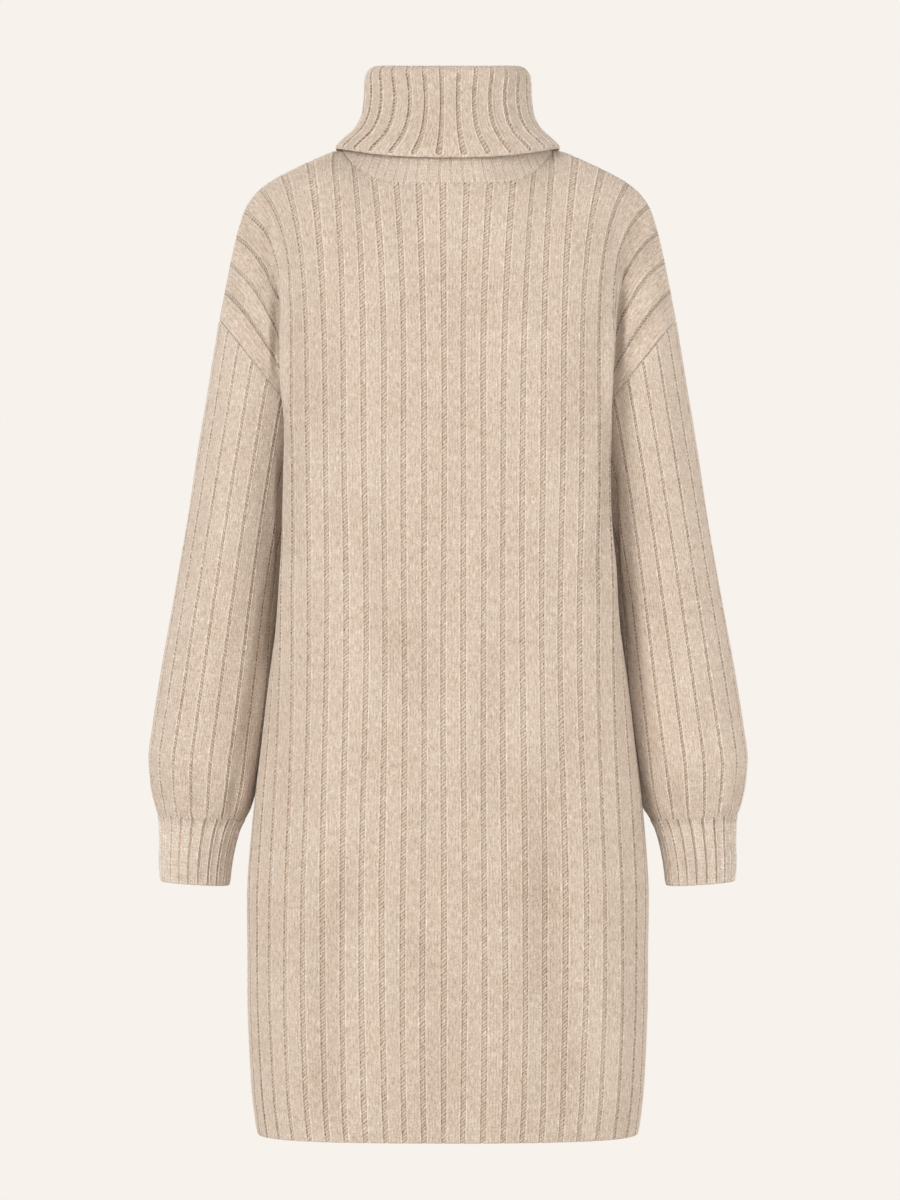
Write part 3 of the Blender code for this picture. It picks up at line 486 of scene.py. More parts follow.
class KnitSizes(bpy.types.PropertyGroup):
    """Sizes of the knitting."""

    channel_depth: bpy.props.FloatProperty(
        name="Channel Depth", description="How deep the purl channels lie",
        default=1.05 * MM, min=0.0, max=2.2 * MM, subtype="DISTANCE", unit="LENGTH")
    edge_wale: bpy.props.FloatProperty(
        name="Edge Wale", description="How far the wale beside a channel stands proud",
        default=0.4 * MM, min=0.0, max=1.0 * MM, subtype="DISTANCE", unit="LENGTH")
    stitch_height: bpy.props.FloatProperty(
        name="Stitch Height", description="Height of one row of stitches",
        default=2.8 * MM, min=1.0 * MM, max=8.0 * MM, subtype="DISTANCE", unit="LENGTH")
    stitch_relief: bpy.props.FloatProperty(
        name="Stitch Relief", description="How far each stitch's loop stands up",
        default=0.55 * MM, min=0.0, max=2.0 * MM, subtype="DISTANCE", unit="LENGTH")
    fold_depth: bpy.props.FloatProperty(
        name="Folds", description="How deep the soft folds are, as a share",
        default=1.0, min=0.0, max=1.5, subtype="FACTOR")


class YarnColours(bpy.types.PropertyGroup):
    """Colours of the melange yarn."""

    pale_fibres: bpy.props.FloatVectorProperty(
        name="Pale Fibres", description="The lightest fibres in the yarn",
        default=linear("#E9DBCD"), min=0.0, max=1.0, subtype="COLOR")
    oatmeal: bpy.props.FloatVectorProperty(
        name="Oatmeal", description="The yarn's main colour",
        default=linear("#D7C5B5"), min=0.0, max=1.0, subtype="COLOR")
    dark_fibres: bpy.props.FloatVectorProperty(
        name="Dark Fibres", description="The darkest fibres in the yarn",
        default=linear("#B8A290"), min=0.0, max=1.0, subtype="COLOR")


class StudioSettings(bpy.types.PropertyGroup):
    """The floor, the light and the camera."""

    backdrop: bpy.props.FloatVectorProperty(
        name="Backdrop", description="Colour of the floor and of what lies behind",
        default=linear("#F7F2EC"), min=0.0, max=1.0, subtype="COLOR")
    floor_drop: bpy.props.FloatProperty(
        name="Floor Drop", description="How far the floor lies below the hem",
        default=0.42, min=0.05, max=2.0, subtype="DISTANCE", unit="LENGTH")
    camera_distance: bpy.props.FloatProperty(
        name="Camera Distance", description="From the camera to the dress",
        default=4.5, min=1.0, max=20.0, subtype="DISTANCE", unit="LENGTH")


# === curves and tables
def column(table, names, name):
    """One named column of a table, in metres or as plain numbers."""
    scale = 1.0 if name in PLAIN_NUMBERS else MM
    return np.array([row[names.index(name)] for row in table]) * scale


def named_rows(table, names):
    """The rows of a table with their values named, in metres or as plain numbers."""
    return [
        {name: v * (1.0 if name in PLAIN_NUMBERS else MM) for name, v in zip(names, row)}
        for row in table
    ]


def smooth_through(xs, ys, x):
    """A curve through points: cubic pieces whose slopes are harmonic means."""
    xs, ys, x = (np.asarray(a, dtype=float) for a in (xs, ys, x))
    gaps = np.diff(xs)
    slopes = np.diff(ys) / gaps
    inner = np.zeros(len(xs))
    same = slopes[:-1] * slopes[1:] > 0
    pair = slopes[:-1][same], slopes[1:][same]
    inner[1:-1][same] = 2.0 * pair[0] * pair[1] / (pair[0] + pair[1])
    inner[0], inner[-1] = slopes[0], slopes[-1]
    k = np.clip(np.searchsorted(xs, x) - 1, 0, len(xs) - 2)
    t = (x - xs[k]) / gaps[k]
    return (
        ys[k] * (1 + 2 * t) * (1 - t) ** 2
        + ys[k + 1] * t * t * (3 - 2 * t)
        + gaps[k] * (inner[k] * t * (1 - t) ** 2 - inner[k + 1] * t * t * (1 - t))
    )


def table_at(table, names, knots, places):
    """Each named column of a table as a curve over its knots, at the given places."""
    return {name: smooth_through(knots, column(table, names, name), places)[:, None]
            for name in names}


def smooth_step(t):
    """3t^2 - 2t^3 between 0 and 1."""
    t = np.clip(t, 0.0, 1.0)
    return t * t * (3.0 - 2.0 * t)


def bell(distance, width):
    """exp(-(distance / width)^2)."""
    return np.exp(-((distance / width) ** 2))


def xyz(x, y, z):
    """Points from their three coordinates."""
    return np.stack(np.broadcast_arrays(x, y, z), axis=-1)


def unit(vectors):
    """Vectors of length one."""
    return vectors / np.linalg.norm(vectors, axis=-1, keepdims=True)


def lengths_along(points):
    """Length of each polyline of a stack up to each of its points."""
    steps = np.linalg.norm(np.diff(points, axis=-2), axis=-1)
    zero = np.zeros(steps.shape[:-1] + (1,))
    return np.concatenate([zero, np.cumsum(steps, axis=-1)], axis=-1)


def lengths_up(grid):
    """Length of each column of a grid up to each of its rows."""
    return lengths_along(np.swapaxes(grid, 0, 1)).T


def between(wanted, known, values):
    """Values at wanted places, by linear interpolation from those at known places."""
    found = [np.interp(wanted.ravel(), known.ravel(), values[..., k].ravel())
             for k in range(values.shape[-1])]
    return np.stack(found, axis=-1).reshape(*wanted.shape, -1)


def share_out(curves, shares):
    """Points at the given shares of the length of each curve of a stack.

    Each curve's lengths are moved two units on from the last one's, so that one
    linear interpolation serves them all.
    """
    along = lengths_along(curves)
    along = along / along[:, -1:] + 2.0 * np.arange(len(curves))[:, None]
    wanted = shares[None, :] + 2.0 * np.arange(len(curves))[:, None]
    return between(wanted, along, curves)


def grid_normals(points):
    """Normals of a grid: its slope along the rows crossed with its slope up them."""
    return unit(np.cross(np.gradient(points, axis=1), np.gradient(points, axis=0)))


def tube_normals(points):
    """Normals of a grid whose last column is its first one again."""
    around = np.concatenate([points[:, -2:-1], points, points[:, 1:2]], axis=1)
    return grid_normals(around)[:, 1:-1]


# === ribs, grooves and folds
def rib_columns(first, last):
    """Places of a grid's columns, counted in ribs; a channel lies at each whole one."""
    half = np.array(COLUMNS_IN_HALF_RIB)
    one = np.concatenate([half, [0.5], 1.0 - half[:0:-1]])
    return np.append((np.arange(first, last)[:, None] + one).ravel(), last)


def from_channel(ribs):
    """How far each place is from the middle of its channel, in ribs."""
    return np.abs(ribs - np.round(ribs))


def rib_relief(off, sizes, proud=1.0):
    """Height of the ribs: a flat channel, a proud wale at its edge, a faint dip between.

    The channel's wall is a smooth step, the wale and the dip are bell curves. proud
    multiplies the wale.
    """
    channel = 1.0 - smooth_step((off - CHANNEL_FLOOR) / (CHANNEL_EDGE - CHANNEL_FLOOR))
    wale = bell(off - EDGE_WALE, EDGE_WALE_WIDTH)
    middle = bell(off - 0.5, MIDDLE_WALE_WIDTH)
    return (-sizes.channel_depth * channel + proud * sizes.edge_wale * wale
            - MIDDLE_DIP * sizes.edge_wale * middle)


def seam_groove(distance, depth):
    """The cloth turns in along a seam, by a smooth step over SEAM_REACH."""
    return -depth * (1.0 - smooth_step(distance / SEAM_REACH))


def free_edge(distance):
    """How much of the ribs' relief is left near a free edge."""
    return FREE_EDGE_RELIEF + (1.0 - FREE_EDGE_RELIEF) * smooth_step(distance / HEM_FADE)


def narrow_channels(points, ribs):
    """Where along its row each column moves to, so that wide ribs keep thin channels.

    Near a channel the columns close up by the ratio of the usual rib's width to this
    one's, and the face between two channels takes up the rest.
    """
    widths = np.linalg.norm(np.gradient(points, ribs, axis=1), axis=-1)
    over_arm = smooth_step((np.abs(ribs) - NARROW_FROM) / 2.0)
    ratio = 1.0 - (1.0 - np.clip(USUAL_RIB / widths, NARROWEST, 1.0)) * over_arm
    nearest = np.round(ribs)
    off = from_channel(ribs)[None, :]
    face = (off - NARROW_SHARE) / (0.5 - NARROW_SHARE)
    moved = np.where(off <= NARROW_SHARE, off * ratio,
                     NARROW_SHARE * ratio + face * (0.5 - NARROW_SHARE * ratio))
    z = points[..., 2]
    stray = sum(np.sin(turn * ribs + z / up) for turn, up in WANDER_WAVES)
    stray = WANDER * stray * smooth_step(ribs[-1] - np.abs(ribs))
    return nearest + np.sign(ribs - nearest) * moved + stray


def along_rows(values, known, wanted):
    """A grid's values at wanted places along each row, which it holds at known ones."""
    rows = 2.0 * (known[-1] - known[0]) * np.arange(len(values))[:, None]
    return between(wanted + rows, known[None, :] + rows, values)


def uneven(x, z, size, seed):
    """Soft unevenness: three crossing waves, longer along the ribs than across."""
    waves = (
        np.sin(x / (0.021 * size) + 1.3 * np.sin(z / 0.17 + seed) + seed)
        + 0.8 * np.sin(x / (0.047 * size) - z / 0.19 + 2.1 * seed)
        + 0.7 * np.sin(z / 0.083 + x / 0.12 + 3.7 * seed)
    )
    return waves / 2.5


def fold_shape(fold, share, across, past, fade, rise):
    """How far a fold moves the cloth at a share of its length and so far across it.

    Its trough is a bell with a lower bell beside it on each side, and its ends fade by
    smooth steps.
    """
    width = fold["width"]
    ends = smooth_step((share + past) / fade) * smooth_step((1.0 + past - share) / fade)
    beside = bell(np.abs(across) - FOLD_SHOULDER_AT * width, FOLD_SHOULDER_WIDTH * width)
    return fold["depth"] * ends * (bell(across, width) - rise * beside)


def line_fold(x, z, fold):
    """A fold along a line whose centre bends a little."""
    start = np.array([fold["x0"], fold["z0"]])
    along = np.array([fold["x1"], fold["z1"]]) - start
    length = np.hypot(*along)
    share = ((x - start[0]) * along[0] + (z - start[1]) * along[1]) / length**2
    across = ((x - start[0]) * along[1] - (z - start[1]) * along[0]) / length
    across = across + 0.35 * fold["width"] * np.sin(5.0 * share + 40.0 * start[0])
    return fold_shape(fold, share, across, *PANEL_FOLD_ENDS)


# === front and back
def half_section(heights, facing):
    """Half a level section for each height: a superellipse pressed in by the arm."""
    size = table_at(BODY_SECTIONS, BODY_COLUMNS,
                    column(BODY_SECTIONS, BODY_COLUMNS, "height"), heights)
    turn = np.linspace(0.0, math.pi / 2, CURVE_STEPS)[None, :]
    x = size["box"] * np.sin(turn) ** (2.0 / size["square"])
    y = size[facing] * np.cos(turn).clip(0.0) ** (2.0 / size["square"])
    pressed = (1.0 - (y / HOLLOW_REACH).clip(0.0, 1.0) ** HOLLOW_FLATNESS) ** HOLLOW_EDGE
    x = x - (size["box"] - size["side"]) * pressed
    return xyz(x, SIGN[facing] * y, heights[:, None])


def neckline_point(turn, facing):
    """The neckline: an ellipse from above, which rises late towards the shoulder."""
    rise = np.abs(np.sin(turn)) ** NECKLINE_POWER
    return xyz(
        NECK_HALF_WIDTH * np.sin(turn),
        SIGN[facing] * NECK_HALF_DEPTH[facing] * np.abs(np.cos(turn)),
        NECK_HEIGHT[facing] + (NECK_SIDE_HEIGHT - NECK_HEIGHT[facing]) * rise,
    )


def neck_turn(ribs, facing):
    """The turn along the neckline at which each rib ends.

    The ribs are shared out evenly by a mix of two measures: how far out the neckline
    has come, seen from the front, and how long it is so far.
    """
    turns = np.linspace(0.0, math.pi / 2, CURVE_STEPS)
    along = lengths_along(neckline_point(turns, facing))
    gone = NECK_BY_WIDTH * np.sin(turns) + (1.0 - NECK_BY_WIDTH) * along / along[-1]
    return np.interp(np.clip(ribs / NECK_RIBS, 0.0, 1.0), gone, turns)


def top_edge(ribs, facing):
    """Where each wale ends: at the neckline, then along the shoulder."""
    out, high = (column(SHOULDER_LINE, SHOULDER_COLUMNS, n) for n in SHOULDER_COLUMNS)
    knots = np.concatenate(([0.0], np.cumsum(np.hypot(np.diff(out), np.diff(high)))))
    along = np.linspace(0.0, knots[-1], CURVE_STEPS)
    shoulder = xyz(smooth_through(knots, out, along), 0.0,
                   smooth_through(knots, high, along))
    past = (ribs - NECK_RIBS) / (HALF_PANEL_RIBS - NECK_RIBS)
    on_shoulder = share_out(shoulder[None], np.clip(past, 0.0, 1.0))[0]
    on_neck = neckline_point(neck_turn(ribs, facing), facing)
    return np.where((ribs < NECK_RIBS)[:, None], on_neck, on_shoulder)


def armhole_point(turn, facing):
    """The armhole, a slanted ellipse: turn runs from the underarm to the shoulder."""
    middle = (np.array(ARMHOLE_TOP) + np.array(ARMHOLE_BOTTOM)) / 2
    half = np.array(ARMHOLE_BOTTOM) - middle
    return xyz(
        middle[0] + half[0] * np.cos(turn),
        SIGN[facing] * ARMHOLE_HALF_DEPTH * np.sin(turn),
        middle[1] + half[1] * np.cos(turn),
    )


def wales(ribs, rises, facing):
    """Wales without the arm, a grid of points.

    Below the underarm each row is a level section. Above it each wale is an arch:
    its depth falls off as the cosine and its height climbs as the sine of one angle,
    up to the neckline or the shoulder.
    """
    shares = ribs / HALF_PANEL_RIBS
    base = share_out(half_section(np.array([UNDERARM_HEIGHT]), facing), shares)[0]
    top = top_edge(ribs, facing)
    reach = np.divide(top[:, 1], base[:, 1], out=np.zeros(len(ribs)),
                      where=ribs < NECK_RIBS)
    last = np.arccos(np.clip(reach, 0.0, 1.0))
    power = smooth_through(*(column(FAN_POWERS, FAN_COLUMNS, n) for n in FAN_COLUMNS),
                           ribs)
    below = rises < 0
    points = np.empty((len(rises), len(ribs), 3))
    if below.any():
        points[below] = share_out(
            half_section(UNDERARM_HEIGHT + rises[below], facing), shares
        )
    angle = (rises[~below] / PANEL_RISE)[:, None] * last[None, :]
    climb = np.sin(angle) / np.sin(last)
    points[~below] = xyz(
        base[:, 0] + (top[:, 0] - base[:, 0]) * climb**power,
        base[:, 1] * np.cos(angle),
        base[:, 2] + (top[:, 2] - base[:, 2]) * climb,
    )
    return points


def cap(ribs, rises, facing):
    """The cap over the upper arm, filled in between its four edges.

    It is the blend across, from the wale at CAP_START_RIB to the armhole, plus what
    the rows at the underarm and the shoulder differ from that blend.
    """
    ends = np.array([CAP_START_RIB, HALF_PANEL_RIBS])
    span = np.array([0.0, PANEL_RISE])
    out = (ribs - ends[0]) / (ends[1] - ends[0])
    late = (out**CAP_LATE)[None, :, None]
    up = (rises / PANEL_RISE)[:, None, None]
    inner = wales(ends[:1], rises, facing)
    outer = armhole_point(rises / PANEL_RISE * math.pi, facing)[:, None, :]
    low, high = (row[None] for row in wales(ribs, span, facing))
    corners = wales(ends, span, facing)
    low = low - (1.0 - late) * corners[0, 0] - late * corners[0, 1]
    high = high - (1.0 - late) * corners[1, 0] - late * corners[1, 1]
    return (1.0 - late) * inner + late * outer + (1.0 - up) * low + up * high


def panel_surface(ribs, rises, facing):
    """The front's or back's surface, smoothed below the corners of the neck.

    There it is a mean of the surface a little way to either side, which takes up the
    kink between the neckline and the shoulder.
    """
    points = drawn_surface(ribs, rises, facing)
    aside = [drawn_surface(ribs + shift, rises, facing) for shift in CORNER_SHIFTS]
    share = np.outer(smooth_step((PANEL_RISE - rises) / CORNER_REACH),
                     bell(np.abs(ribs) - NECK_RIBS, CORNER_WIDTH))[..., None]
    return points + CORNER_SHARE * share * (np.mean(aside, axis=0) - points)


def drawn_surface(ribs, rises, facing):
    """The front's or back's surface as drawn: a grid of points, rises by ribs."""
    side = np.where(ribs < 0, -1.0, 1.0)
    ribs = np.abs(ribs)
    points = wales(ribs, rises, facing)
    over_arm = ribs > CAP_START_RIB
    above = rises > 0
    on_cap = np.ix_(above, over_arm)
    share = smooth_step((ribs[over_arm] - CAP_START_RIB) / CAP_BLEND)[None, :, None]
    filled = cap(ribs[over_arm], rises[above], facing)
    points[on_cap] += share * (filled - points[on_cap])
    points[..., 0] *= side
    return points


def sleeve_direction():
    """Unit vector down the sleeve, from its armhole to its fullest ring."""
    x, z = (
        (column(SLEEVE_RINGS, SLEEVE_COLUMNS, "outer_" + way)
         + column(SLEEVE_RINGS, SLEEVE_COLUMNS, "inner_" + way)) / 2
        for way in "xz"
    )
    first, last = FIRST_SLEEVE_RING, FULLEST_RING
    return unit(np.array([x[last] - x[first], 0.0, z[last] - z[first]]))


def armhole_normals(turns, facing, lean):
    """Outward normals along the armhole; lean turns them to the piece's own side."""
    points = armhole_point(turns, facing)
    outwards = points - armhole_point(np.array([0.0, math.pi]), facing).mean(axis=0)
    outwards[:, 1] *= ARMHOLE_FACING
    axis = sleeve_direction()
    outwards = unit(outwards - (outwards @ axis)[:, None] * axis)
    outwards[:, 0] += lean * np.clip(np.cos(turns), 0.0, 1.0) ** LEAN_POWER
    return unit(outwards)


def neck_normals(turns, facing):
    """Outward normals along the neckline: forwards in the middle, up at the side."""
    low, high = NECK_SEAM_UP
    up = low + (high - low) * np.sin(turns) ** 2
    return unit(xyz(NECK_SEAM_OUT * np.sin(turns), SIGN[facing] * np.cos(turns), up))


def underarm_share(ribs, rises):
    """1 at the underarm, falling to 0 a few ribs away: cloth is thin and plain there."""
    across = (HALF_PANEL_RIBS - np.abs(ribs[None, :])) / UNDERARM_RIBS
    along = rises[:, None] / UNDERARM_REACH
    return smooth_step(1.0 - np.hypot(across, along))


def panel_folds(points, facing, share, sizes):
    """How far each point of a panel moves out or in for its folds."""
    sign = SIGN[facing]
    x, z = points[..., 0], points[..., 2]
    moved = PANEL_UNEVEN * uneven(x, z, 1.0, 1.0 + sign)
    depth, beside = np.abs(points[..., 1]), np.abs(x) - SIDE_LOBE_FROM
    lobe = bell(depth - SIDE_LOBE_AT, SIDE_LOBE_WIDTH) * smooth_step(beside / SIDE_LOBE_WIDTH)
    lobe = lobe * smooth_step((SIDE_LOBE_TOP - z) / SIDE_LOBE_FADE)
    moved = moved + SIDE_LOBE * lobe * smooth_step((z - SIDE_LOBE_END) / SIDE_LOBE_FADE)
    for fold in named_rows(PANEL_FOLDS, FOLD_COLUMNS):
        if fold["side_of_dress"] == sign:
            moved = moved + line_fold(x, z, fold)
    return sizes.fold_depth * share * moved


def panel_places():
    """A panel's columns in ribs, where each lies on the surface, and its rows."""
    ribs = rib_columns(-int(HALF_PANEL_RIBS), int(HALF_PANEL_RIBS))
    channels = np.arange(-HALF_PANEL_RIBS, HALF_PANEL_RIBS + 1)
    shifted = channels + ONE_SIDE * np.clip(
        (HALF_PANEL_RIBS - np.abs(channels)) / (HALF_PANEL_RIBS - ONE_SIDE_TO), 0.0, 1.0
    )
    hem = HEM_HEIGHT + WALL / 2 - UNDERARM_HEIGHT
    rises = np.concatenate(
        [
            np.linspace(hem, 0.0, PANEL_ROWS_BELOW, endpoint=False),
            np.linspace(0.0, PANEL_RISE - TOP_ROWS_FROM, PANEL_ROWS_ABOVE),
            PANEL_RISE - np.array(TOP_ROWS[::-1]),
        ]
    )
    return ribs, np.interp(ribs, channels, shifted), rises


def panel_base(places, rises, facing, sizes):
    """A panel's smooth points and normals, fitted to its seams, and its folds."""
    sign = SIGN[facing]
    points = panel_surface(places, rises, facing)
    normals = grid_normals(points) * -sign
    along = lengths_up(points)
    from_seam = np.minimum(
        (HALF_PANEL_RIBS - np.abs(places))[None, :] / FOLD_FREE_RIBS,
        (along[-1][None, :] - along) / FOLD_FREE_TOP,
    )
    share = smooth_step(from_seam) * (1.0 - underarm_share(places, rises))
    folds = panel_folds(points, facing, share, sizes)[..., None]
    points = points + normals * folds
    normals = grid_normals(points) * -sign

    above = rises >= 0
    turns = rises[above] / PANEL_RISE * math.pi
    down_sleeve = sleeve_direction()
    for edge, side in ((0, -1.0), (-1, 1.0)):
        mirror = np.array([side, 1.0, 1.0])
        points[above, edge] -= down_sleeve * mirror * SEAM_GAP / 2
        normals[above, edge] = armhole_normals(turns, facing, BODY_LEAN) * mirror
    on_neck = np.abs(places) <= NECK_RIBS
    side = np.where(places[on_neck] < 0, -1.0, 1.0)[:, None] * np.array([1.0, 0.0, 0.0])
    side = side + np.array([0.0, 1.0, 1.0])
    points[-1, on_neck, 2] -= SEAM_GAP / 2
    normals[-1, on_neck] = side * neck_normals(
        neck_turn(np.abs(places[on_neck]), facing), facing
    )
    meets = sign * points[..., 1] < SEAM_GAP / 2
    points[..., 1] = np.where(meets, sign * SEAM_GAP / 2, points[..., 1])
    normals[..., 1] = np.where(meets, 0.0, normals[..., 1])
    return points, unit(normals), folds


# === sleeves and cuffs
def rings_surface(table, turns, places):
    """A tube through rings: ellipses between each ring's outer and inner point."""
    values = table_at(table, SLEEVE_COLUMNS, np.arange(len(table)), places)
    inwards = np.cos(turns)[None, :]
    x = (values["outer_x"] + values["inner_x"]) / 2
    x = x + (values["inner_x"] - values["outer_x"]) / 2 * inwards
    z = (values["outer_z"] + values["inner_z"]) / 2
    z = z + (values["inner_z"] - values["outer_z"]) / 2 * inwards
    y = -values["half_depth"] * np.sin(turns)[None, :]
    return xyz(x, y, z)


def ring_places(table, row):
    """Places of rows about one row height apart, from the last ring up to the first."""
    fine = np.linspace(len(table) - 1.0, 0.0, RING_STEPS * len(table))
    front = rings_surface(table, np.array([math.pi / 2]), fine)[:, 0]
    along = lengths_along(front)
    rows = np.linspace(0.0, along[-1], int(round(along[-1] / row)) + 1)
    rows = np.sort(np.append(rows, [LAST_ROW, along[-1] - LAST_ROW]))
    return np.interp(rows, along, fine)


def sleeve_folds(heights, turns, seed, sizes):
    """How far each point of a sleeve moves for its folds and its gathers."""
    moved = SLEEVE_UNEVEN * uneven(turns[None, :] * SLEEVE_RADIUS, heights, 0.8, seed)
    for number, fold in enumerate(named_rows(SLEEVE_FOLDS, SLEEVE_FOLD_COLUMNS)):
        lean = SLEEVES_DIFFER * math.sin(2.3 * number + 5.0 * seed)
        share = (heights - fold["z0"]) / (fold["z1"] - fold["z0"])
        middle = fold["turn"] + lean + fold["drift"] * share
        away = (turns[None, :] - middle + math.pi) % FULL_TURN - math.pi
        moved = moved + fold_shape(fold, share, away * SLEEVE_RADIUS, *SLEEVE_FOLD_ENDS)
    inner = np.minimum(turns, FULL_TURN - turns)[None, :]
    lean_in = bell(inner, SLEEVE_LEAN_TURN) * smooth_step(
        (SLEEVE_LEAN_TOP - heights) / SIDE_LOBE_FADE)
    moved = moved + SLEEVE_LEANS_IN * lean_in
    above_cuff = (heights - heights[0]) / GATHER_REACH
    wide, narrow = GATHERS_ROUND
    gather = np.sin(wide * turns + seed + 0.5 * np.sin(2.0 * turns))[None, :]
    gather = gather + 0.6 * np.sin(narrow * turns + 2.0 * seed)[None, :] - 1.0
    moved = moved + GATHER_DEPTH * gather * bell(above_cuff - GATHER_AT, GATHER_AT)
    fade = smooth_step((SLEEVE_FOLDS_TOP - heights) / SLEEVE_FOLDS_FADE)
    return sizes.fold_depth * moved * smooth_step(above_cuff / GATHER_FADE) * fade


def tube_base(table, turns, places, moved=None):
    """A tube's smooth points and normals, and its folds."""
    points = rings_surface(table, turns, places)
    normals = tube_normals(points)
    if moved is None:
        return points, normals, np.zeros_like(points[..., :1])
    folds = moved(points[..., 2], turns)[..., None]
    points = points + normals * folds
    points[:, -1] = points[:, 0]
    return points, tube_normals(points), folds


# === roll neck
def roll_surface(turns, places):
    """The roll neck's rings: ellipses from above whose height changes round them."""
    size = table_at(ROLL_RINGS, ROLL_COLUMNS, np.arange(len(ROLL_RINGS)), places)
    sway = FALL_SWAY * bell(places - FALL_SWAY_AT, FALL_SWAY_WIDTH)[:, None]
    turns = turns[None, :] - sway * np.sin(2.0 * turns)[None, :]
    cosine, sine = np.cos(turns), np.sin(turns)
    front = smooth_step(cosine * 2.0 + 0.5)
    depth = size["back"] + (size["front"] - size["back"]) * front
    end = size["z_back"] + (size["z_front"] - size["z_back"]) * front
    z = end + (size["z_side"] - end) * np.abs(sine) ** size["power"]
    return xyz(size["half_width"] * sine, -depth * cosine, z)


def roll_places():
    """Places of the roll neck's rows, closer together at the fall's free edge."""
    count = len(ROLL_RINGS)
    fine = np.linspace(0.0, count - 1.0, ROLL_STEPS * count)
    along = lengths_along(roll_surface(np.array([0.0]), fine)[:, 0])
    rows = np.linspace(0.0, along[-1], int(round(along[-1] / ROLL_ROW)) + 1)
    at_edge = np.interp(FREE_EDGE_PLACE, fine, along) + ROLL_EDGE_ROWS
    away = (rows < at_edge[0] - ROLL_ROW / 2) | (rows > at_edge[-1] + ROLL_ROW / 2)
    close = [LAST_ROW, along[-1] - LAST_ROW]
    return np.interp(np.sort(np.concatenate([rows[away], at_edge, close])), along, fine)


# === meshes
# What the cloth carries for its material at each vertex: how far from a channel it is
# in ribs, how crisp its ribs are, how sharp the lines of painted shade and highlight
# beside its channels are, how near it is to a row of linking stitches, and its painted
# shade: in its folds, and below zero, as painted light, on crests, the stand, the sleeves
# and the cuffs.
MARKS = ("off", "crisp", "lines", "linked", "crease")


def crease_of(folds):
    """Painted shade: 1 at the bottom of a deep fold, 0 on plain cloth, a little below 0 on a
    crest.
    """
    return np.clip(-folds[..., 0] / CREASE_DEPTH, CREST, 1.0)


class KnitMesh:
    """Gathers grids of points into one closed mesh with its knit map.

    A place is a point with its own spot on the map; a tube's last column has places of
    its own, on the vertices of its first.
    """

    def __init__(self):
        self.points, self.maps = [], []
        self.marks = {name: [] for name in MARKS}
        self.vertex, self.faces, self.smooth = [], [], []
        self.places = self.vertices = 0

    def grid(self, points, maps, closed=False, **marks):
        """Adds a grid and gives back its places."""
        rows, columns = points.shape[:2]
        own = columns - 1 if closed else columns
        at = np.arange(rows)[:, None] * own + np.arange(columns)[None, :] % own
        self.points.append(points.reshape(-1, 3))
        self.maps.append(maps.reshape(-1, 2))
        for name in MARKS:
            values = np.broadcast_to(marks.get(name, 0.0), (rows, columns))
            self.marks[name].append(values.ravel())
        self.vertex.append((self.vertices + at).ravel())
        places = self.places + np.arange(rows * columns).reshape(rows, columns)
        self.places += rows * columns
        self.vertices += rows * own
        return places

    def cover(self, places, inside=False):
        """Quads over a grid of places, which face out, or in where inside."""
        corners = [places[:-1, :-1], places[:-1, 1:], places[1:, 1:], places[1:, :-1]]
        quads = np.stack([c.ravel() for c in corners], axis=1)
        self.faces.append(quads[:, ::-1] if inside else quads)
        self.smooth.append(np.full(len(quads), True))

    def zip(self, one, one_at, two, two_at):
        """Triangles between two edges whose points lie at other places along them.

        Each step of an edge makes a triangle with the point of the other edge that
        the steps have reached by then, in the order of the steps' middles. They are
        flat, so the faces beside them keep their own normals up to the edge.
        """
        one_middles = one_at[:-1] + one_at[1:]
        two_middles = two_at[:-1] + two_at[1:]
        reached = np.searchsorted(two_middles, one_middles)
        self.faces.append(np.stack([one[1:], one[:-1], two[reached]], axis=1))
        reached = np.searchsorted(one_middles, two_middles, side="right")
        self.faces.append(np.stack([two[:-1], two[1:], one[reached]], axis=1))
        self.smooth += [np.full(len(faces), False) for faces in self.faces[-2:]]

    def finish(self, name, flipped, material):
        """Makes the object; flipped turns its faces over, for a mirrored shape."""
        vertex = np.concatenate(self.vertex)
        points = np.empty((self.vertices, 3))
        points[vertex[::-1]] = np.concatenate(self.points)[::-1]
        faces = [f[:, ::-1] if flipped else f for f in self.faces]
        corners = np.concatenate([f.ravel() for f in faces])
        sides = np.concatenate([np.full(len(f), f.shape[1]) for f in faces])
        starts = np.concatenate([[0], np.cumsum(sides)[:-1]])

        mesh = bpy.data.meshes.new(name)
        mesh.vertices.add(len(points))
        mesh.vertices.foreach_set("co", points.astype(np.float32).ravel())
        mesh.loops.add(len(corners))
        mesh.loops.foreach_set("vertex_index", vertex[corners].astype(np.int32))
        mesh.polygons.add(len(sides))
        mesh.polygons.foreach_set("loop_start", starts.astype(np.int32))
        mesh.update(calc_edges=True)
        mesh.polygons.foreach_set("use_smooth", np.concatenate(self.smooth))
        knit = mesh.uv_layers.new(name="knit")
        knit.uv.foreach_set(
            "vector", np.concatenate(self.maps)[corners].astype(np.float32).ravel()
        )
        for mark in MARKS:
            spread = np.zeros(self.vertices)
            spread[vertex] = np.concatenate(self.marks[mark])
            layer = mesh.attributes.new(mark, "FLOAT", "POINT")
            layer.data.foreach_set("value", spread.astype(np.float32))
        mesh.materials.append(material)
        obj = bpy.data.objects.new(name, mesh)
        bpy.context.scene.collection.objects.link(obj)
        return obj


def rim(points, normals, sunk, down, wall):
    """Rows that turn a free edge round from its inner face to its outer face.

    Each is a half circle: its middle lies halfway through the wall, and it bulges
    down. The first row is the one next to the inner face.
    """
    half = (wall - sunk)[None, :, None] / 2
    middle = points[None] - normals[None] * (sunk[None, :, None] + half)
    turns = np.radians(RIM_TURNS)[:, None, None]
    return middle + normals[None] * half * np.cos(turns) + down[None] * half * np.sin(turns)


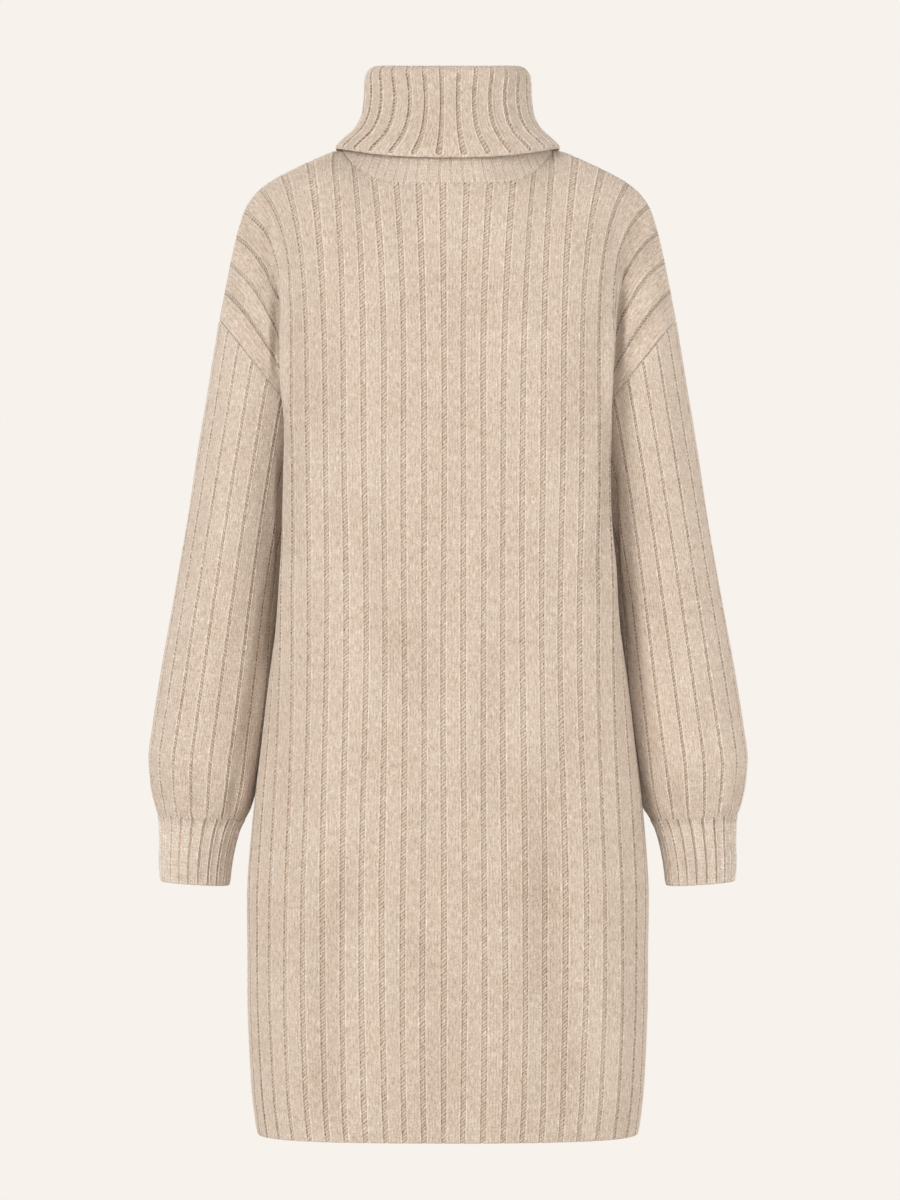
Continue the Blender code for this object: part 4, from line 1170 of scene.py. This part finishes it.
def with_free_edge(points, normals, relief, wall, along):
    """An outer face and the lengths up it, with the rows that turn its edge round."""
    down = unit(points[0] - points[1])
    turned = rim(points[0], normals[0], -relief[0], down, wall[0])
    rim_along = -WALL * np.arange(len(turned), 0, -1)[:, None] * RIM_STEP
    rim_along = np.broadcast_to(rim_along, turned.shape[:2])
    outer = points + normals * relief[..., None]
    return np.concatenate([turned, outer]), np.concatenate([rim_along, along])


def edge_padded(values, rows):
    """Marks of an outer face, with the first row's repeated for its free edge's rows."""
    return np.concatenate([np.repeat(values[:1], rows, axis=0), values])


def linking(distance):
    """How near each point is to the row of linking stitches beside a seam."""
    return bell(distance - LINK_AT, LINK_WIDTH)


def knit_map(ribs, along, sizes):
    """Ribs across and rows of stitches up, for each point of a grid."""
    across = np.broadcast_to(ribs[None, :], along.shape)
    return np.stack([across, along / sizes.stitch_height], axis=-1)


def close_wall(mesh, outside, inner, ribs, along, sizes, closed, **marks):
    """Adds a wall's plain inside and joins it to the outside at its top and bottom.

    Gives back the inside's places and the rows of the outer face that it has.
    """
    rows = np.unique(np.append(np.arange(0, len(inner), INNER_EVERY), len(inner) - 1))
    keep = np.flatnonzero(ribs * 2 % 1 == 0)
    marks["off"] = marks["off"][keep]
    inside = mesh.grid(inner[rows][:, keep],
                       knit_map(ribs[keep], along[rows][:, keep], sizes), closed, **marks)
    mesh.cover(outside)
    mesh.cover(inside, inside=True)
    mesh.zip(outside[0], ribs, inside[0], ribs[keep])
    mesh.zip(inside[-1], ribs[keep], outside[-1], ribs)
    return inside, rows


def settle(obj, node):
    """Hangs a finished piece from the root and hides the solid that it stands for."""
    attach(obj, "root")
    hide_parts(node)


# === material
def add(tree, kind, inputs, **settings):
    """Adds a node, with its settings and with a value or a link for each input.

    The inputs are given by name, or as a plain row in the node's own order.
    """
    made = tree.nodes.new("ShaderNode" + kind)
    for name, value in settings.items():
        setattr(made, name, value)
    named = inputs if isinstance(inputs, dict) else dict(enumerate(inputs))
    for name, value in named.items():
        if isinstance(value, bpy.types.NodeSocket):
            tree.links.new(value, made.inputs[name])
        else:
            made.inputs[name].default_value = value
    return made.outputs[0]


def wool_rib_knit(sizes, colours):
    """Carded melange lambswool, knitted in a wide rib and lightly brushed.

    Carding mixes pale and dark fibres, which gives streaks along each yarn. Knit
    stitches show as small Vs in upright wales, and purl stitches as slanting bumps in
    the channels. Brushing raises a short nap, which looks soft at the edges.
    """
    material = bpy.data.materials.new("carded_lambswool_rib_knit")
    material.use_nodes = True
    tree = material.node_tree
    shader = tree.nodes["Principled BSDF"]
    soft = {"interpolation_type": "SMOOTHSTEP"}
    times, less = {"operation": "MULTIPLY"}, {"operation": "SUBTRACT"}
    grow = {"operation": "MULTIPLY_ADD"}   # the first times the second, and the third

    knit = add(tree, "UVMap", (), uv_map="knit")
    split = add(tree, "SeparateXYZ", (knit,)).node
    ribs, rows = split.outputs["X"], split.outputs["Y"]
    off, crisp, sharp, linked, crease = (
        add(tree, "Attribute", (), attribute_name=name).node.outputs["Fac"]
        for name in MARKS
    )
    place = add(tree, "TexCoord", ()).node.outputs["Object"]

    # across a rib: off is 0 in the middle of a channel and 0.5 halfway to the next one
    channel = add(tree, "MapRange", (off, *CHANNEL_SHOWN, 1.0, 0.0), **soft)
    # lines of painted highlight and painted shade beside each channel
    lines = []
    for middle, reach in (EDGE_LINE, GROOVE_LINE):
        line = add(tree, "Math", (off, middle), **less)
        line = add(tree, "Math", (line,), operation="ABSOLUTE")
        lines.append(add(tree, "MapRange", (line, 0.0, reach, 1.0, 0.0), **soft))
    edge, groove = lines

    # across a wale: 0 in its middle, 1 at its sides
    wale = add(tree, "Math", (ribs, float(WALES_PER_RIB)), **times)
    wale = add(tree, "Math", (wale, 0.5), operation="ADD")
    wale = add(tree, "Math", (wale, 0.5), operation="PINGPONG")
    wale = add(tree, "Math", (wale, 2.0), **times)
    other = add(tree, "Math", (1.0, wale), **less)
    leg = add(tree, "Math", (wale, other), **times)
    leg = add(tree, "Math", (leg, 4.0), **times)

    # up a knit wale: the legs of each V, one every row of stitches
    wander = add(tree, "TexNoise", {"Vector": knit, "Scale": 0.3, "Detail": 2.0},
                 noise_dimensions="2D")
    bent = add(tree, "Math", (wander, STITCH_WANDER, rows), **grow)
    slant = add(tree, "Math", (wale, KNIT_SLANT, bent), **grow)
    knit_wave = add(tree, "Math", (slant, FULL_TURN), **times)
    knit_wave = add(tree, "Math", (knit_wave,), operation="SINE")
    knit_wave = add(tree, "Math", (knit_wave, *LOOP_WAVE), **grow)
    knit_loops = add(tree, "Math", (leg, knit_wave), **times)

    # up a channel: slanting purl bumps, drawn a fifth coarser than they are, to show
    signed = add(tree, "Math", (ribs, 0.5, -0.5), operation="WRAP")
    purl = add(tree, "Math", (signed, PURL_SLANT, bent), **grow)
    purl = add(tree, "Math", (purl, PURL_COARSER * FULL_TURN), **times)
    purl = add(tree, "Math", (purl,), operation="SINE")
    purl_bumps = add(tree, "MapRange", (purl, *PURL_BUMP), **soft)
    # some loops beside a channel sink in and others don't; the mask of its left side, where
    # the painted shadow falls
    left = add(tree, "MapRange", (signed, -LEFT_BLEND, LEFT_BLEND, 1.0, 0.0))
    some = add(tree, "VectorMath", (knit, SUNK_STRETCH), **times)
    some = add(tree, "TexNoise", {"Vector": some, "Scale": 1.0, "Detail": 1.0},
               noise_dimensions="2D")
    some = add(tree, "MapRange", (some, *SUNK_BETWEEN), **soft)

    height = add(tree, "Mix", {0: channel, 2: knit_loops, 3: purl_bumps},
                 data_type="FLOAT")

    # fibres, pale and then dark: where a noise passes through its middle value it draws
    # curling lines
    curls = []
    for size, shift in FIBRE_CURLS:
        moved = add(tree, "Mapping",
                    {"Vector": place, "Location": (shift,) * 3, "Scale": CURL_STRETCH})
        noise = add(tree, "TexNoise", {"Vector": moved, "Scale": 1.0 / (size * MM),
                                       "Detail": 1.0, "Distortion": 0.7})
        away = add(tree, "Math", (noise, 0.5), **less)
        away = add(tree, "Math", (away,), operation="ABSOLUTE")
        curls.append(add(tree, "MapRange", (away, 0.0, CURL_WIDTH, 1.0, 0.0), **soft))

    # the melange: streaks along the yarn, blots of a few stitches, and slow patches
    stretched = add(tree, "VectorMath", (knit, STREAK_STRETCH), **times)
    streaks = add(tree, "TexNoise", {"Vector": stretched, "Scale": 1.0, "Detail": 3.0,
                                     "Roughness": 0.65}, noise_dimensions="2D")
    blots, patches, fleck = (
        add(tree, "TexNoise", {"Vector": place, "Scale": 1.0 / size, **finer})
        for size, finer in (
            (BLOT_SIZE, {"Detail": 3.0, "Roughness": 0.7}),
            (PATCH_SIZE, {"Detail": 2.0}),
            (FLECK_SIZE, {"Detail": 1.0}),
        )
    )
    *weights, tone = MELANGE
    for part, weight in zip((streaks, blots, fleck, patches), weights):
        tone = add(tree, "Math", (part, weight, tone), **grow)
    dark_mix, pale_mix = (
        add(tree, "MapRange", (tone, *ends)) for ends in (DARK_BELOW, PALE_ABOVE)
    )
    yarn = (*colours.dark_fibres, 1.0)
    for share, paler in ((dark_mix, colours.oatmeal), (pale_mix, colours.pale_fibres)):
        yarn = add(tree, "Mix", {0: share, 6: yarn, 7: (*paler, 1.0)},
                   data_type="RGBA").node.outputs[2]

    # painted shade: less light reaches between loops and into the channels
    hollow = add(tree, "Math", (1.0, height), **less)
    shade = add(tree, "Math", (hollow, *BETWEEN_LOOPS), **grow)
    deep = add(tree, "Math", (hollow, *CHANNEL_DARK), **grow)
    deep = add(tree, "Math", (crisp, CHANNEL_CRISP, deep), **grow)
    deep = add(tree, "Math", (deep, channel), **times)
    shade = add(tree, "Math", (shade, deep), **less)
    # painted shade where the loops beside a channel sink in, and a painted shadow at its
    # left, as if the light came from the left
    sunk = add(tree, "Math", (some, SUNK_PAINTED_SHADE, 0.0), **grow)
    blunt = add(tree, "Math", (sharp, SUNK_SHARP, 1.0), **grow)
    sunk = add(tree, "Math", (sunk, blunt), **times)
    more = add(tree, "Math", (sharp, *LEFT_PAINTED_SHADOW), **grow)
    more = add(tree, "Math", (some, LEFT_SHADOW_BY_SUNK, more), **grow)
    sunk = add(tree, "Math", (left, more, sunk), **grow)
    sunk = add(tree, "Math", (sunk, groove), **times)
    shade = add(tree, "Math", (shade, sunk), **less)
    # painted highlight on the wale next to them, which stands proud; less of it at the left
    proud = add(tree, "Math", (sharp, *PROUD_HIGHLIGHT), **grow)
    proud = add(tree, "Math", (left, LEFT_HIGHLIGHT, proud), **grow)
    proud = add(tree, "Math", (proud, edge), **times)
    shade = add(tree, "Math", (shade, proud), operation="ADD")
    for curl, paler in zip(curls, CURLS_PALE):
        shade = add(tree, "Math", (curl, paler, shade), **grow)

    # the stitches that link two pieces leave a row of small holes, with painted shade in
    # them, and painted light along the row
    holes = add(tree, "Math", (ribs, FULL_TURN * WALES_PER_RIB / 2.0), **times)
    holes = add(tree, "Math", (holes,), operation="SINE")
    holes = add(tree, "MapRange", (holes, *HOLES_BETWEEN))
    holes = add(tree, "Math", (holes, linked), **times)
    shade = add(tree, "Math", (linked, LINKED_PAINTED_LIGHT, shade), **grow)
    shade = add(tree, "Math", (holes, HOLE_PAINTED_SHADE, shade), **grow)
    # painted shade between the wales
    sides = add(tree, "Math", (wale, WALE_SIDE_POWER), operation="POWER")
    plain = add(tree, "Math", (crisp, *WALE_SIDES), **grow)
    sides = add(tree, "Math", (sides, plain), **times)
    shade = add(tree, "Math", (shade, sides), **less)

    # painted shade and light tint the colour too: light that comes out from between loops
    # has met the yarn more often, so it is warmer, and the painted highlights are paler.
    # Half of the folds' painted shade, and of the painted light, counts for that
    shade = add(tree, "Math", (crease, -CREASE_SHADE / 2, shade), **grow)
    shade_share = add(tree, "MapRange", (shade, *TINTED_FROM_TO))
    tint = add(tree, "Mix", {0: shade_share, 6: WARM_TINT, 7: HIGHLIGHT_TINT},
               data_type="RGBA").node.outputs[2]
    shade = add(tree, "Math", (crease, -CREASE_SHADE / 2, shade), **grow)
    colour = add(tree, "VectorMath", (yarn, tint), **times)
    colour = add(tree, "VectorMath", {0: colour, "Scale": shade}, operation="SCALE")
    tree.links.new(colour, shader.inputs["Base Color"])

    fibres = height
    for part, rise in zip((*curls, holes), FIBRE_RISES):
        fibres = add(tree, "Math", (part, rise, fibres), **grow)
    bump = add(tree, "Bump",
               {"Height": fibres, "Strength": BUMP_STRENGTH, "Distance": sizes.stitch_relief})
    tree.links.new(bump, shader.inputs["Normal"])
    for socket, value in WOOL_SURFACE:
        shader.inputs[socket].default_value = value
    return material


# === pieces
def own_side(points, facing):
    """Points kept on their own side of the seam between the front and the back."""
    sign = SIGN[facing]
    points[..., 1] = sign * np.maximum(sign * points[..., 1], SEAM_GAP / 2)
    return points


def knit_panel(facing, sizes, material):
    """The front or the back: a wall open at the neck, the armholes and the hem."""
    ribs, places, rises = panel_places()
    points, normals, folds = panel_base(places, rises, facing, sizes)
    moved = narrow_channels(points, ribs)
    points, normals, folds = (
        along_rows(grid, ribs, moved) for grid in (points, normals, folds)
    )
    normals = unit(normals)
    along = lengths_up(points)
    to_top = along[-1][None, :] - along
    to_side = (HALF_PANEL_RIBS - np.abs(ribs))[None, :] * RIB_AT_SIDE
    from_seam = np.minimum(to_top, np.broadcast_to(to_side, to_top.shape))
    under = underarm_share(places, rises)
    on_neck = np.abs(places) <= NECK_RIBS
    groove = seam_groove(to_side, ARMHOLE_GROOVE)
    relief = rib_relief(from_channel(ribs), sizes)[None, :] * (1.0 - under)
    relief = relief * smooth_step(from_seam / SEAM_REACH) * free_edge(along) + groove
    wall = WALL * (1.0 - THINNER_AT_UNDERARM * under)
    outer, outer_along = with_free_edge(points, normals, relief, wall, along)
    turned = len(RIM_TURNS)
    crisp = smooth_step((HEM_CRISP_TOP - outer_along) / HEM_CRISP_FADE) * HEM_CRISP
    beside = smooth_step((np.abs(places) - CAP_START_RIB) / 2.0)[None, :]
    rise = edge_padded(smooth_step(rises / UNDERARM_REACH), turned)
    crisp = crisp + beside * (SIDE_CRISP + (CAP_CRISP - SIDE_CRISP) * rise[:, None])

    off = from_channel(ribs)
    mesh = KnitMesh()
    outside = mesh.grid(own_side(outer, facing), knit_map(ribs, outer_along, sizes),
                        off=off, crisp=crisp, lines=crisp,
                        linked=on_neck * edge_padded(linking(to_top), turned),
                        crease=edge_padded(crease_of(folds), turned))
    inner = own_side(points - normals * wall[..., None], facing)
    inside, rows = close_wall(mesh, outside, inner, ribs, along, sizes, False, off=off)
    outer_rises = np.concatenate([rises[0] + outer_along[:turned, 0], rises])
    mesh.zip(inside[:, 0], rises[rows], outside[:, 0], outer_rises)
    mesh.zip(outside[:, -1], outer_rises, inside[:, -1], rises[rows])
    return mesh.finish(facing + "_knit", facing == "back", material)


def knit_tube(name, table, row, count, sizes, material, mirrored, seams, moved=None):
    """A sleeve or a cuff; seams says whether its top and its bottom are sewn on."""
    top_seam, low_seam = seams
    ribs = rib_columns(0, count)
    turns = ribs * FULL_TURN / count
    places = ring_places(table, row)
    points, normals, folds = tube_base(table, turns, places, moved)
    along = lengths_up(points)
    to_top = along[-1][None, :] - along
    off = from_channel(ribs) + (SLEEVE_PINCH if low_seam else CUFF_PINCH)
    relief = np.broadcast_to(rib_relief(off, sizes, TUBE_PROUD)[None, :], along.shape)
    relief = relief * (1.0 if low_seam else CUFF_RELIEF)
    # painted shade in the sleeve's folds, less the sleeves' painted light and the cuffs',
    # full a little below their seam
    crease = SLEEVE_CREASE * crease_of(folds) - SLEEVE_PAINTED_LIGHT
    if not low_seam:
        crease = crease - (CUFF_PAINTED_LIGHT - SLEEVE_PAINTED_LIGHT) * smooth_step(
            to_top / CUFF_PAINTED_LIGHT_FADE)
    linked = np.zeros_like(along)
    if top_seam == "armhole":
        front = turns <= math.pi
        points[-1] += sleeve_direction() * SEAM_GAP / 2
        normals[-1, front] = armhole_normals(turns[front], "front", SLEEVE_LEAN)
        normals[-1, ~front] = armhole_normals(
            FULL_TURN - turns[~front], "back", SLEEVE_LEAN
        )
        under = smooth_step(1.0 - np.hypot(
            np.minimum(turns, FULL_TURN - turns)[None, :] / UNDERARM_TURN,
            to_top / UNDERARM_REACH))
    else:
        under = np.zeros_like(along)
    for sewn, distance in ((top_seam, to_top), (low_seam, along)):
        if sewn:
            relief = relief * smooth_step(distance / SEAM_REACH)
        if sewn == "armhole":
            relief = relief + seam_groove(distance, ARMHOLE_GROOVE)
        elif sewn:
            linked = np.maximum(linked, linking(distance))
    wall = WALL * (1.0 - THINNER_AT_UNDERARM * under)
    if low_seam:
        outer, outer_along = points + normals * relief[..., None], along
        crisp, lines = SLEEVE_CRISP, SLEEVE_LINES
    else:
        relief = relief * free_edge(along)
        outer, outer_along = with_free_edge(points, normals, relief, wall, along)
        linked, crease = (edge_padded(marks, len(RIM_TURNS)) for marks in (linked, crease))
        crisp, lines = CUFF_CRISP, CUFF_LINES

    mesh = KnitMesh()
    mirror = np.array([-1.0 if mirrored else 1.0, 1.0, 1.0])
    outside = mesh.grid(outer * mirror, knit_map(ribs, outer_along, sizes), closed=True,
                        off=off, crisp=crisp, lines=lines, linked=linked, crease=crease)
    inner = (points - normals * wall[..., None]) * mirror
    close_wall(mesh, outside, inner, ribs, along, sizes, True, off=off, crisp=crisp)
    return mesh.finish(name, mirrored, material)


def knit_roll_neck(sizes, material):
    """The roll neck: one tube that stands up, turns over outwards and falls."""
    columns = rib_columns(0, NECK_RIBS_ROUND)
    turns = (columns + NECK_FIRST_CHANNEL) * FULL_TURN / NECK_RIBS_ROUND
    places = roll_places()
    points = roll_surface(turns, places)
    points[:, -1] = points[:, 0]
    normals = tube_normals(points)
    along = lengths_up(points)

    fold = len(STAND_OUTSIDE) - 1.0
    top = len(ROLL_RINGS) - len(STAND_INSIDE) - 1.0
    front_along = along[:, np.argmin(np.abs(turns))]
    at_edge = np.interp(FREE_EDGE_PLACE, places, front_along)
    past_edge = front_along - at_edge
    stands = smooth_step(fold - places)[:, None]
    on_stand = stands > 0.5
    # the channels' ends are round: past the last one's middle it is a distance
    short = (ROLL_CHANNEL_END - past_edge).clip(0.0)[:, None] / ROLL_RIB
    off = np.hypot(from_channel(columns)[None, :], np.where(on_stand, 0.0, short))
    off = np.where(on_stand, from_channel(2.0 * columns)[None, :], off.clip(0.0, 0.5))
    relief = rib_relief(off, sizes, ROLL_PROUD)
    relief = relief * np.where(on_stand, STAND_RELIEF, FALL_RELIEF)
    inside = smooth_step((places - top + INSIDE_FLAT_FROM) / INSIDE_FLAT_FADE)[:, None]
    relief = relief * (1.0 - INSIDE_FLAT * inside)
    relief = relief * smooth_step(np.abs(stands - 0.5) / TURN_FADE)
    ridge = bell(past_edge - ROLL_EDGE_AT, ROLL_EDGE_WIDTH)[:, None]
    relief = relief + ROLL_EDGE * ridge
    # the free edge's ridge gets the proud wale's painted highlight
    off = off + (EDGE_WALE - off) * ROLL_EDGE_SHARE * ridge
    from_seam = np.minimum(along, along[-1][None, :] - along)
    relief = relief * smooth_step(from_seam / SEAM_REACH)
    points = points + normals * relief[..., None]
    bound_off = bell(past_edge - BIND_OFF_AT, BIND_OFF_WIDTH)[:, None]
    linked = linking(along) + BIND_OFF * bound_off

    mesh = KnitMesh()
    knit = knit_map(columns, along, sizes)
    knit[..., 0] *= 1.0 + stands
    crisp = FALL_CRISP + (STAND_CRISP - FALL_CRISP) * stands
    # the stand gets painted light
    grid = mesh.grid(points, knit, closed=True, off=off, crisp=crisp, linked=linked,
                     crease=-STAND_PAINTED_LIGHT * stands,
                     lines=FALL_LINES + (STAND_LINES - FALL_LINES) * stands)
    mesh.cover(grid)
    mesh.zip(grid[0], columns, grid[-1], columns)
    return mesh.finish("roll_neck_knit", False, material)


def cloth(context):
    """The scene's knitting sizes and the one knit of every piece, made once."""
    sizes, colours = context.scene.knit_sizes, context.scene.yarn_colours
    found = bpy.data.materials.get("carded_lambswool_rib_knit")
    return sizes, found or wool_rib_knit(sizes, colours)


class DRESS_OT_front_and_back(bpy.types.Operator):
    """Knits the front and the back"""

    bl_idname = "sweater_dress.front_and_back"
    bl_label = "Front and Back"

    def execute(self, context):
        sizes, material = cloth(context)
        for node in ("front", "back"):
            obj = knit_panel(node, sizes, material)
            settle(obj, node)
        return {"FINISHED"}


class DRESS_OT_sleeves(bpy.types.Operator):
    """Knits both sleeves"""

    bl_idname = "sweater_dress.sleeves"
    bl_label = "Sleeves"

    def execute(self, context):
        sizes, material = cloth(context)
        for side, mirrored, seed in (("left", False, 0.4), ("right", True, 2.9)):
            node = "sleeve_" + side
            obj = knit_tube(
                node + "_knit", SLEEVE_RINGS, SLEEVE_ROW, SLEEVE_RIBS, sizes, material,
                mirrored, ("armhole", "cuff"),
                lambda heights, turns: sleeve_folds(heights, turns, seed, sizes),
            )
            settle(obj, node)
        return {"FINISHED"}


class DRESS_OT_cuffs(bpy.types.Operator):
    """Knits both cuffs"""

    bl_idname = "sweater_dress.cuffs"
    bl_label = "Cuffs"

    def execute(self, context):
        sizes, material = cloth(context)
        for side, mirrored in (("left", False), ("right", True)):
            node = "cuff_" + side
            obj = knit_tube(node + "_knit", CUFF_RINGS, CUFF_ROW, CUFF_RIBS, sizes,
                            material, mirrored, ("sleeve", ""))
            settle(obj, node)
        return {"FINISHED"}


class DRESS_OT_roll_neck(bpy.types.Operator):
    """Knits the roll neck"""

    bl_idname = "sweater_dress.roll_neck"
    bl_label = "Roll Neck"

    def execute(self, context):
        obj = knit_roll_neck(*cloth(context))
        settle(obj, "roll_neck")
        return {"FINISHED"}


class DRESS_OT_studio(bpy.types.Operator):
    """Sets up the floor, the soft light and the camera"""

    bl_idname = "sweater_dress.studio"
    bl_label = "Studio"

    def execute(self, context):
        scene, studio = context.scene, context.scene.studio_settings
        scene.view_settings.view_transform = "Standard"
        pale = (*studio.backdrop, 1.0)

        # the backdrop shows its own colour and lights the dress less strongly
        world = bpy.data.worlds.new("pale_studio")
        scene.world = world
        world.use_nodes = True
        tree = world.node_tree
        seen = add(tree, "LightPath", ())
        strength = add(tree, "MapRange", (seen, 0.0, 1.0, SKY_LIGHT, 1.0))
        sky = tree.nodes["Background"]
        sky.inputs["Color"].default_value = pale
        tree.links.new(strength, sky.inputs["Strength"])

        angles = np.linspace(0.0, FULL_TURN, FLOOR_CORNERS + 1)[:-1]
        ring = xyz(FLOOR_RADIUS * np.cos(angles), FLOOR_RADIUS * np.sin(angles),
                   HEM_HEIGHT - studio.floor_drop)
        mesh = bpy.data.meshes.new("floor")
        mesh.from_pydata(ring.tolist(), [], [list(range(len(ring)))])
        floor = bpy.data.objects.new("floor", mesh)
        scene.collection.objects.link(floor)
        paint = bpy.data.materials.new("pale_painted_floor")
        paint.use_nodes = True
        shader = paint.node_tree.nodes["Principled BSDF"]
        painted = tuple(FLOOR_PAINT * c for c in studio.backdrop)
        shader.inputs["Base Color"].default_value = (*painted, 1.0)
        shader.inputs["Roughness"].default_value = 0.9
        shader.inputs["Specular IOR Level"].default_value = 0.0
        shader.inputs["Emission Color"].default_value = pale
        shader.inputs["Emission Strength"].default_value = FLOOR_GLOW
        mesh.materials.append(paint)

        middle = (CAD_BOX[0][2] + CAD_BOX[1][2]) / 2
        for name, place, size, power in LAMPS:
            light = bpy.data.lights.new(name, "AREA")
            light.shape, light.size, light.energy = "DISK", size, power
            lamp = bpy.data.objects.new(name, light)
            lamp.location = place
            aim = np.array([0.0, 0.0, middle]) - np.array(place)
            lamp.rotation_euler = (
                math.atan2(math.hypot(aim[0], aim[1]), -aim[2]),
                0.0,
                math.atan2(aim[1], aim[0]) - math.pi / 2,
            )
            lamp.visible_camera = False
            scene.collection.objects.link(lamp)

        lens = bpy.data.cameras.new("camera")
        lens.sensor_width = SENSOR
        lens.lens = SENSOR * studio.camera_distance / FRAME_HEIGHT
        camera = bpy.data.objects.new("camera", lens)
        camera.location = (CAMERA_ACROSS, -studio.camera_distance, CAMERA_HEIGHT)
        camera.rotation_euler = (math.pi / 2, 0.0, 0.0)
        scene.collection.objects.link(camera)
        scene.camera = camera
        return {"FINISHED"}


class DRESS_PT_panel(bpy.types.Panel):
    """Lists the dress's pieces, sizes and colours"""

    bl_label = "Sweater Dress"
    bl_idname = "DRESS_PT_panel"
    bl_space_type = "VIEW_3D"
    bl_region_type = "UI"
    bl_category = "Sweater Dress"

    def draw(self, context):
        for group in ("knit_sizes", "yarn_colours", "studio_settings"):
            settings = getattr(context.scene, group)
            for name in settings.bl_rna.properties.keys():
                if name not in ("rna_type", "name"):
                    self.layout.prop(settings, name)
        for operator in OPERATORS:
            self.layout.operator(operator.bl_idname)


GROUPS = {
    "knit_sizes": KnitSizes,
    "yarn_colours": YarnColours,
    "studio_settings": StudioSettings,
}
OPERATORS = (
    DRESS_OT_front_and_back,
    DRESS_OT_sleeves,
    DRESS_OT_cuffs,
    DRESS_OT_roll_neck,
    DRESS_OT_studio,
)


def register():
    for name, group in GROUPS.items():
        bpy.utils.register_class(group)
        setattr(bpy.types.Scene, name, bpy.props.PointerProperty(type=group))
    for made in (*OPERATORS, DRESS_PT_panel):
        bpy.utils.register_class(made)


def unregister():
    for made in (DRESS_PT_panel, *OPERATORS[::-1]):
        bpy.utils.unregister_class(made)
    for name, group in GROUPS.items():
        delattr(bpy.types.Scene, name)
        bpy.utils.unregister_class(group)


def main():
    """Makes every piece and the studio."""
    register()
    bpy.ops.sweater_dress.front_and_back()
    bpy.ops.sweater_dress.sleeves()
    bpy.ops.sweater_dress.cuffs()
    bpy.ops.sweater_dress.roll_neck()
    bpy.ops.sweater_dress.studio()


if __name__ == "__main__":
    main()
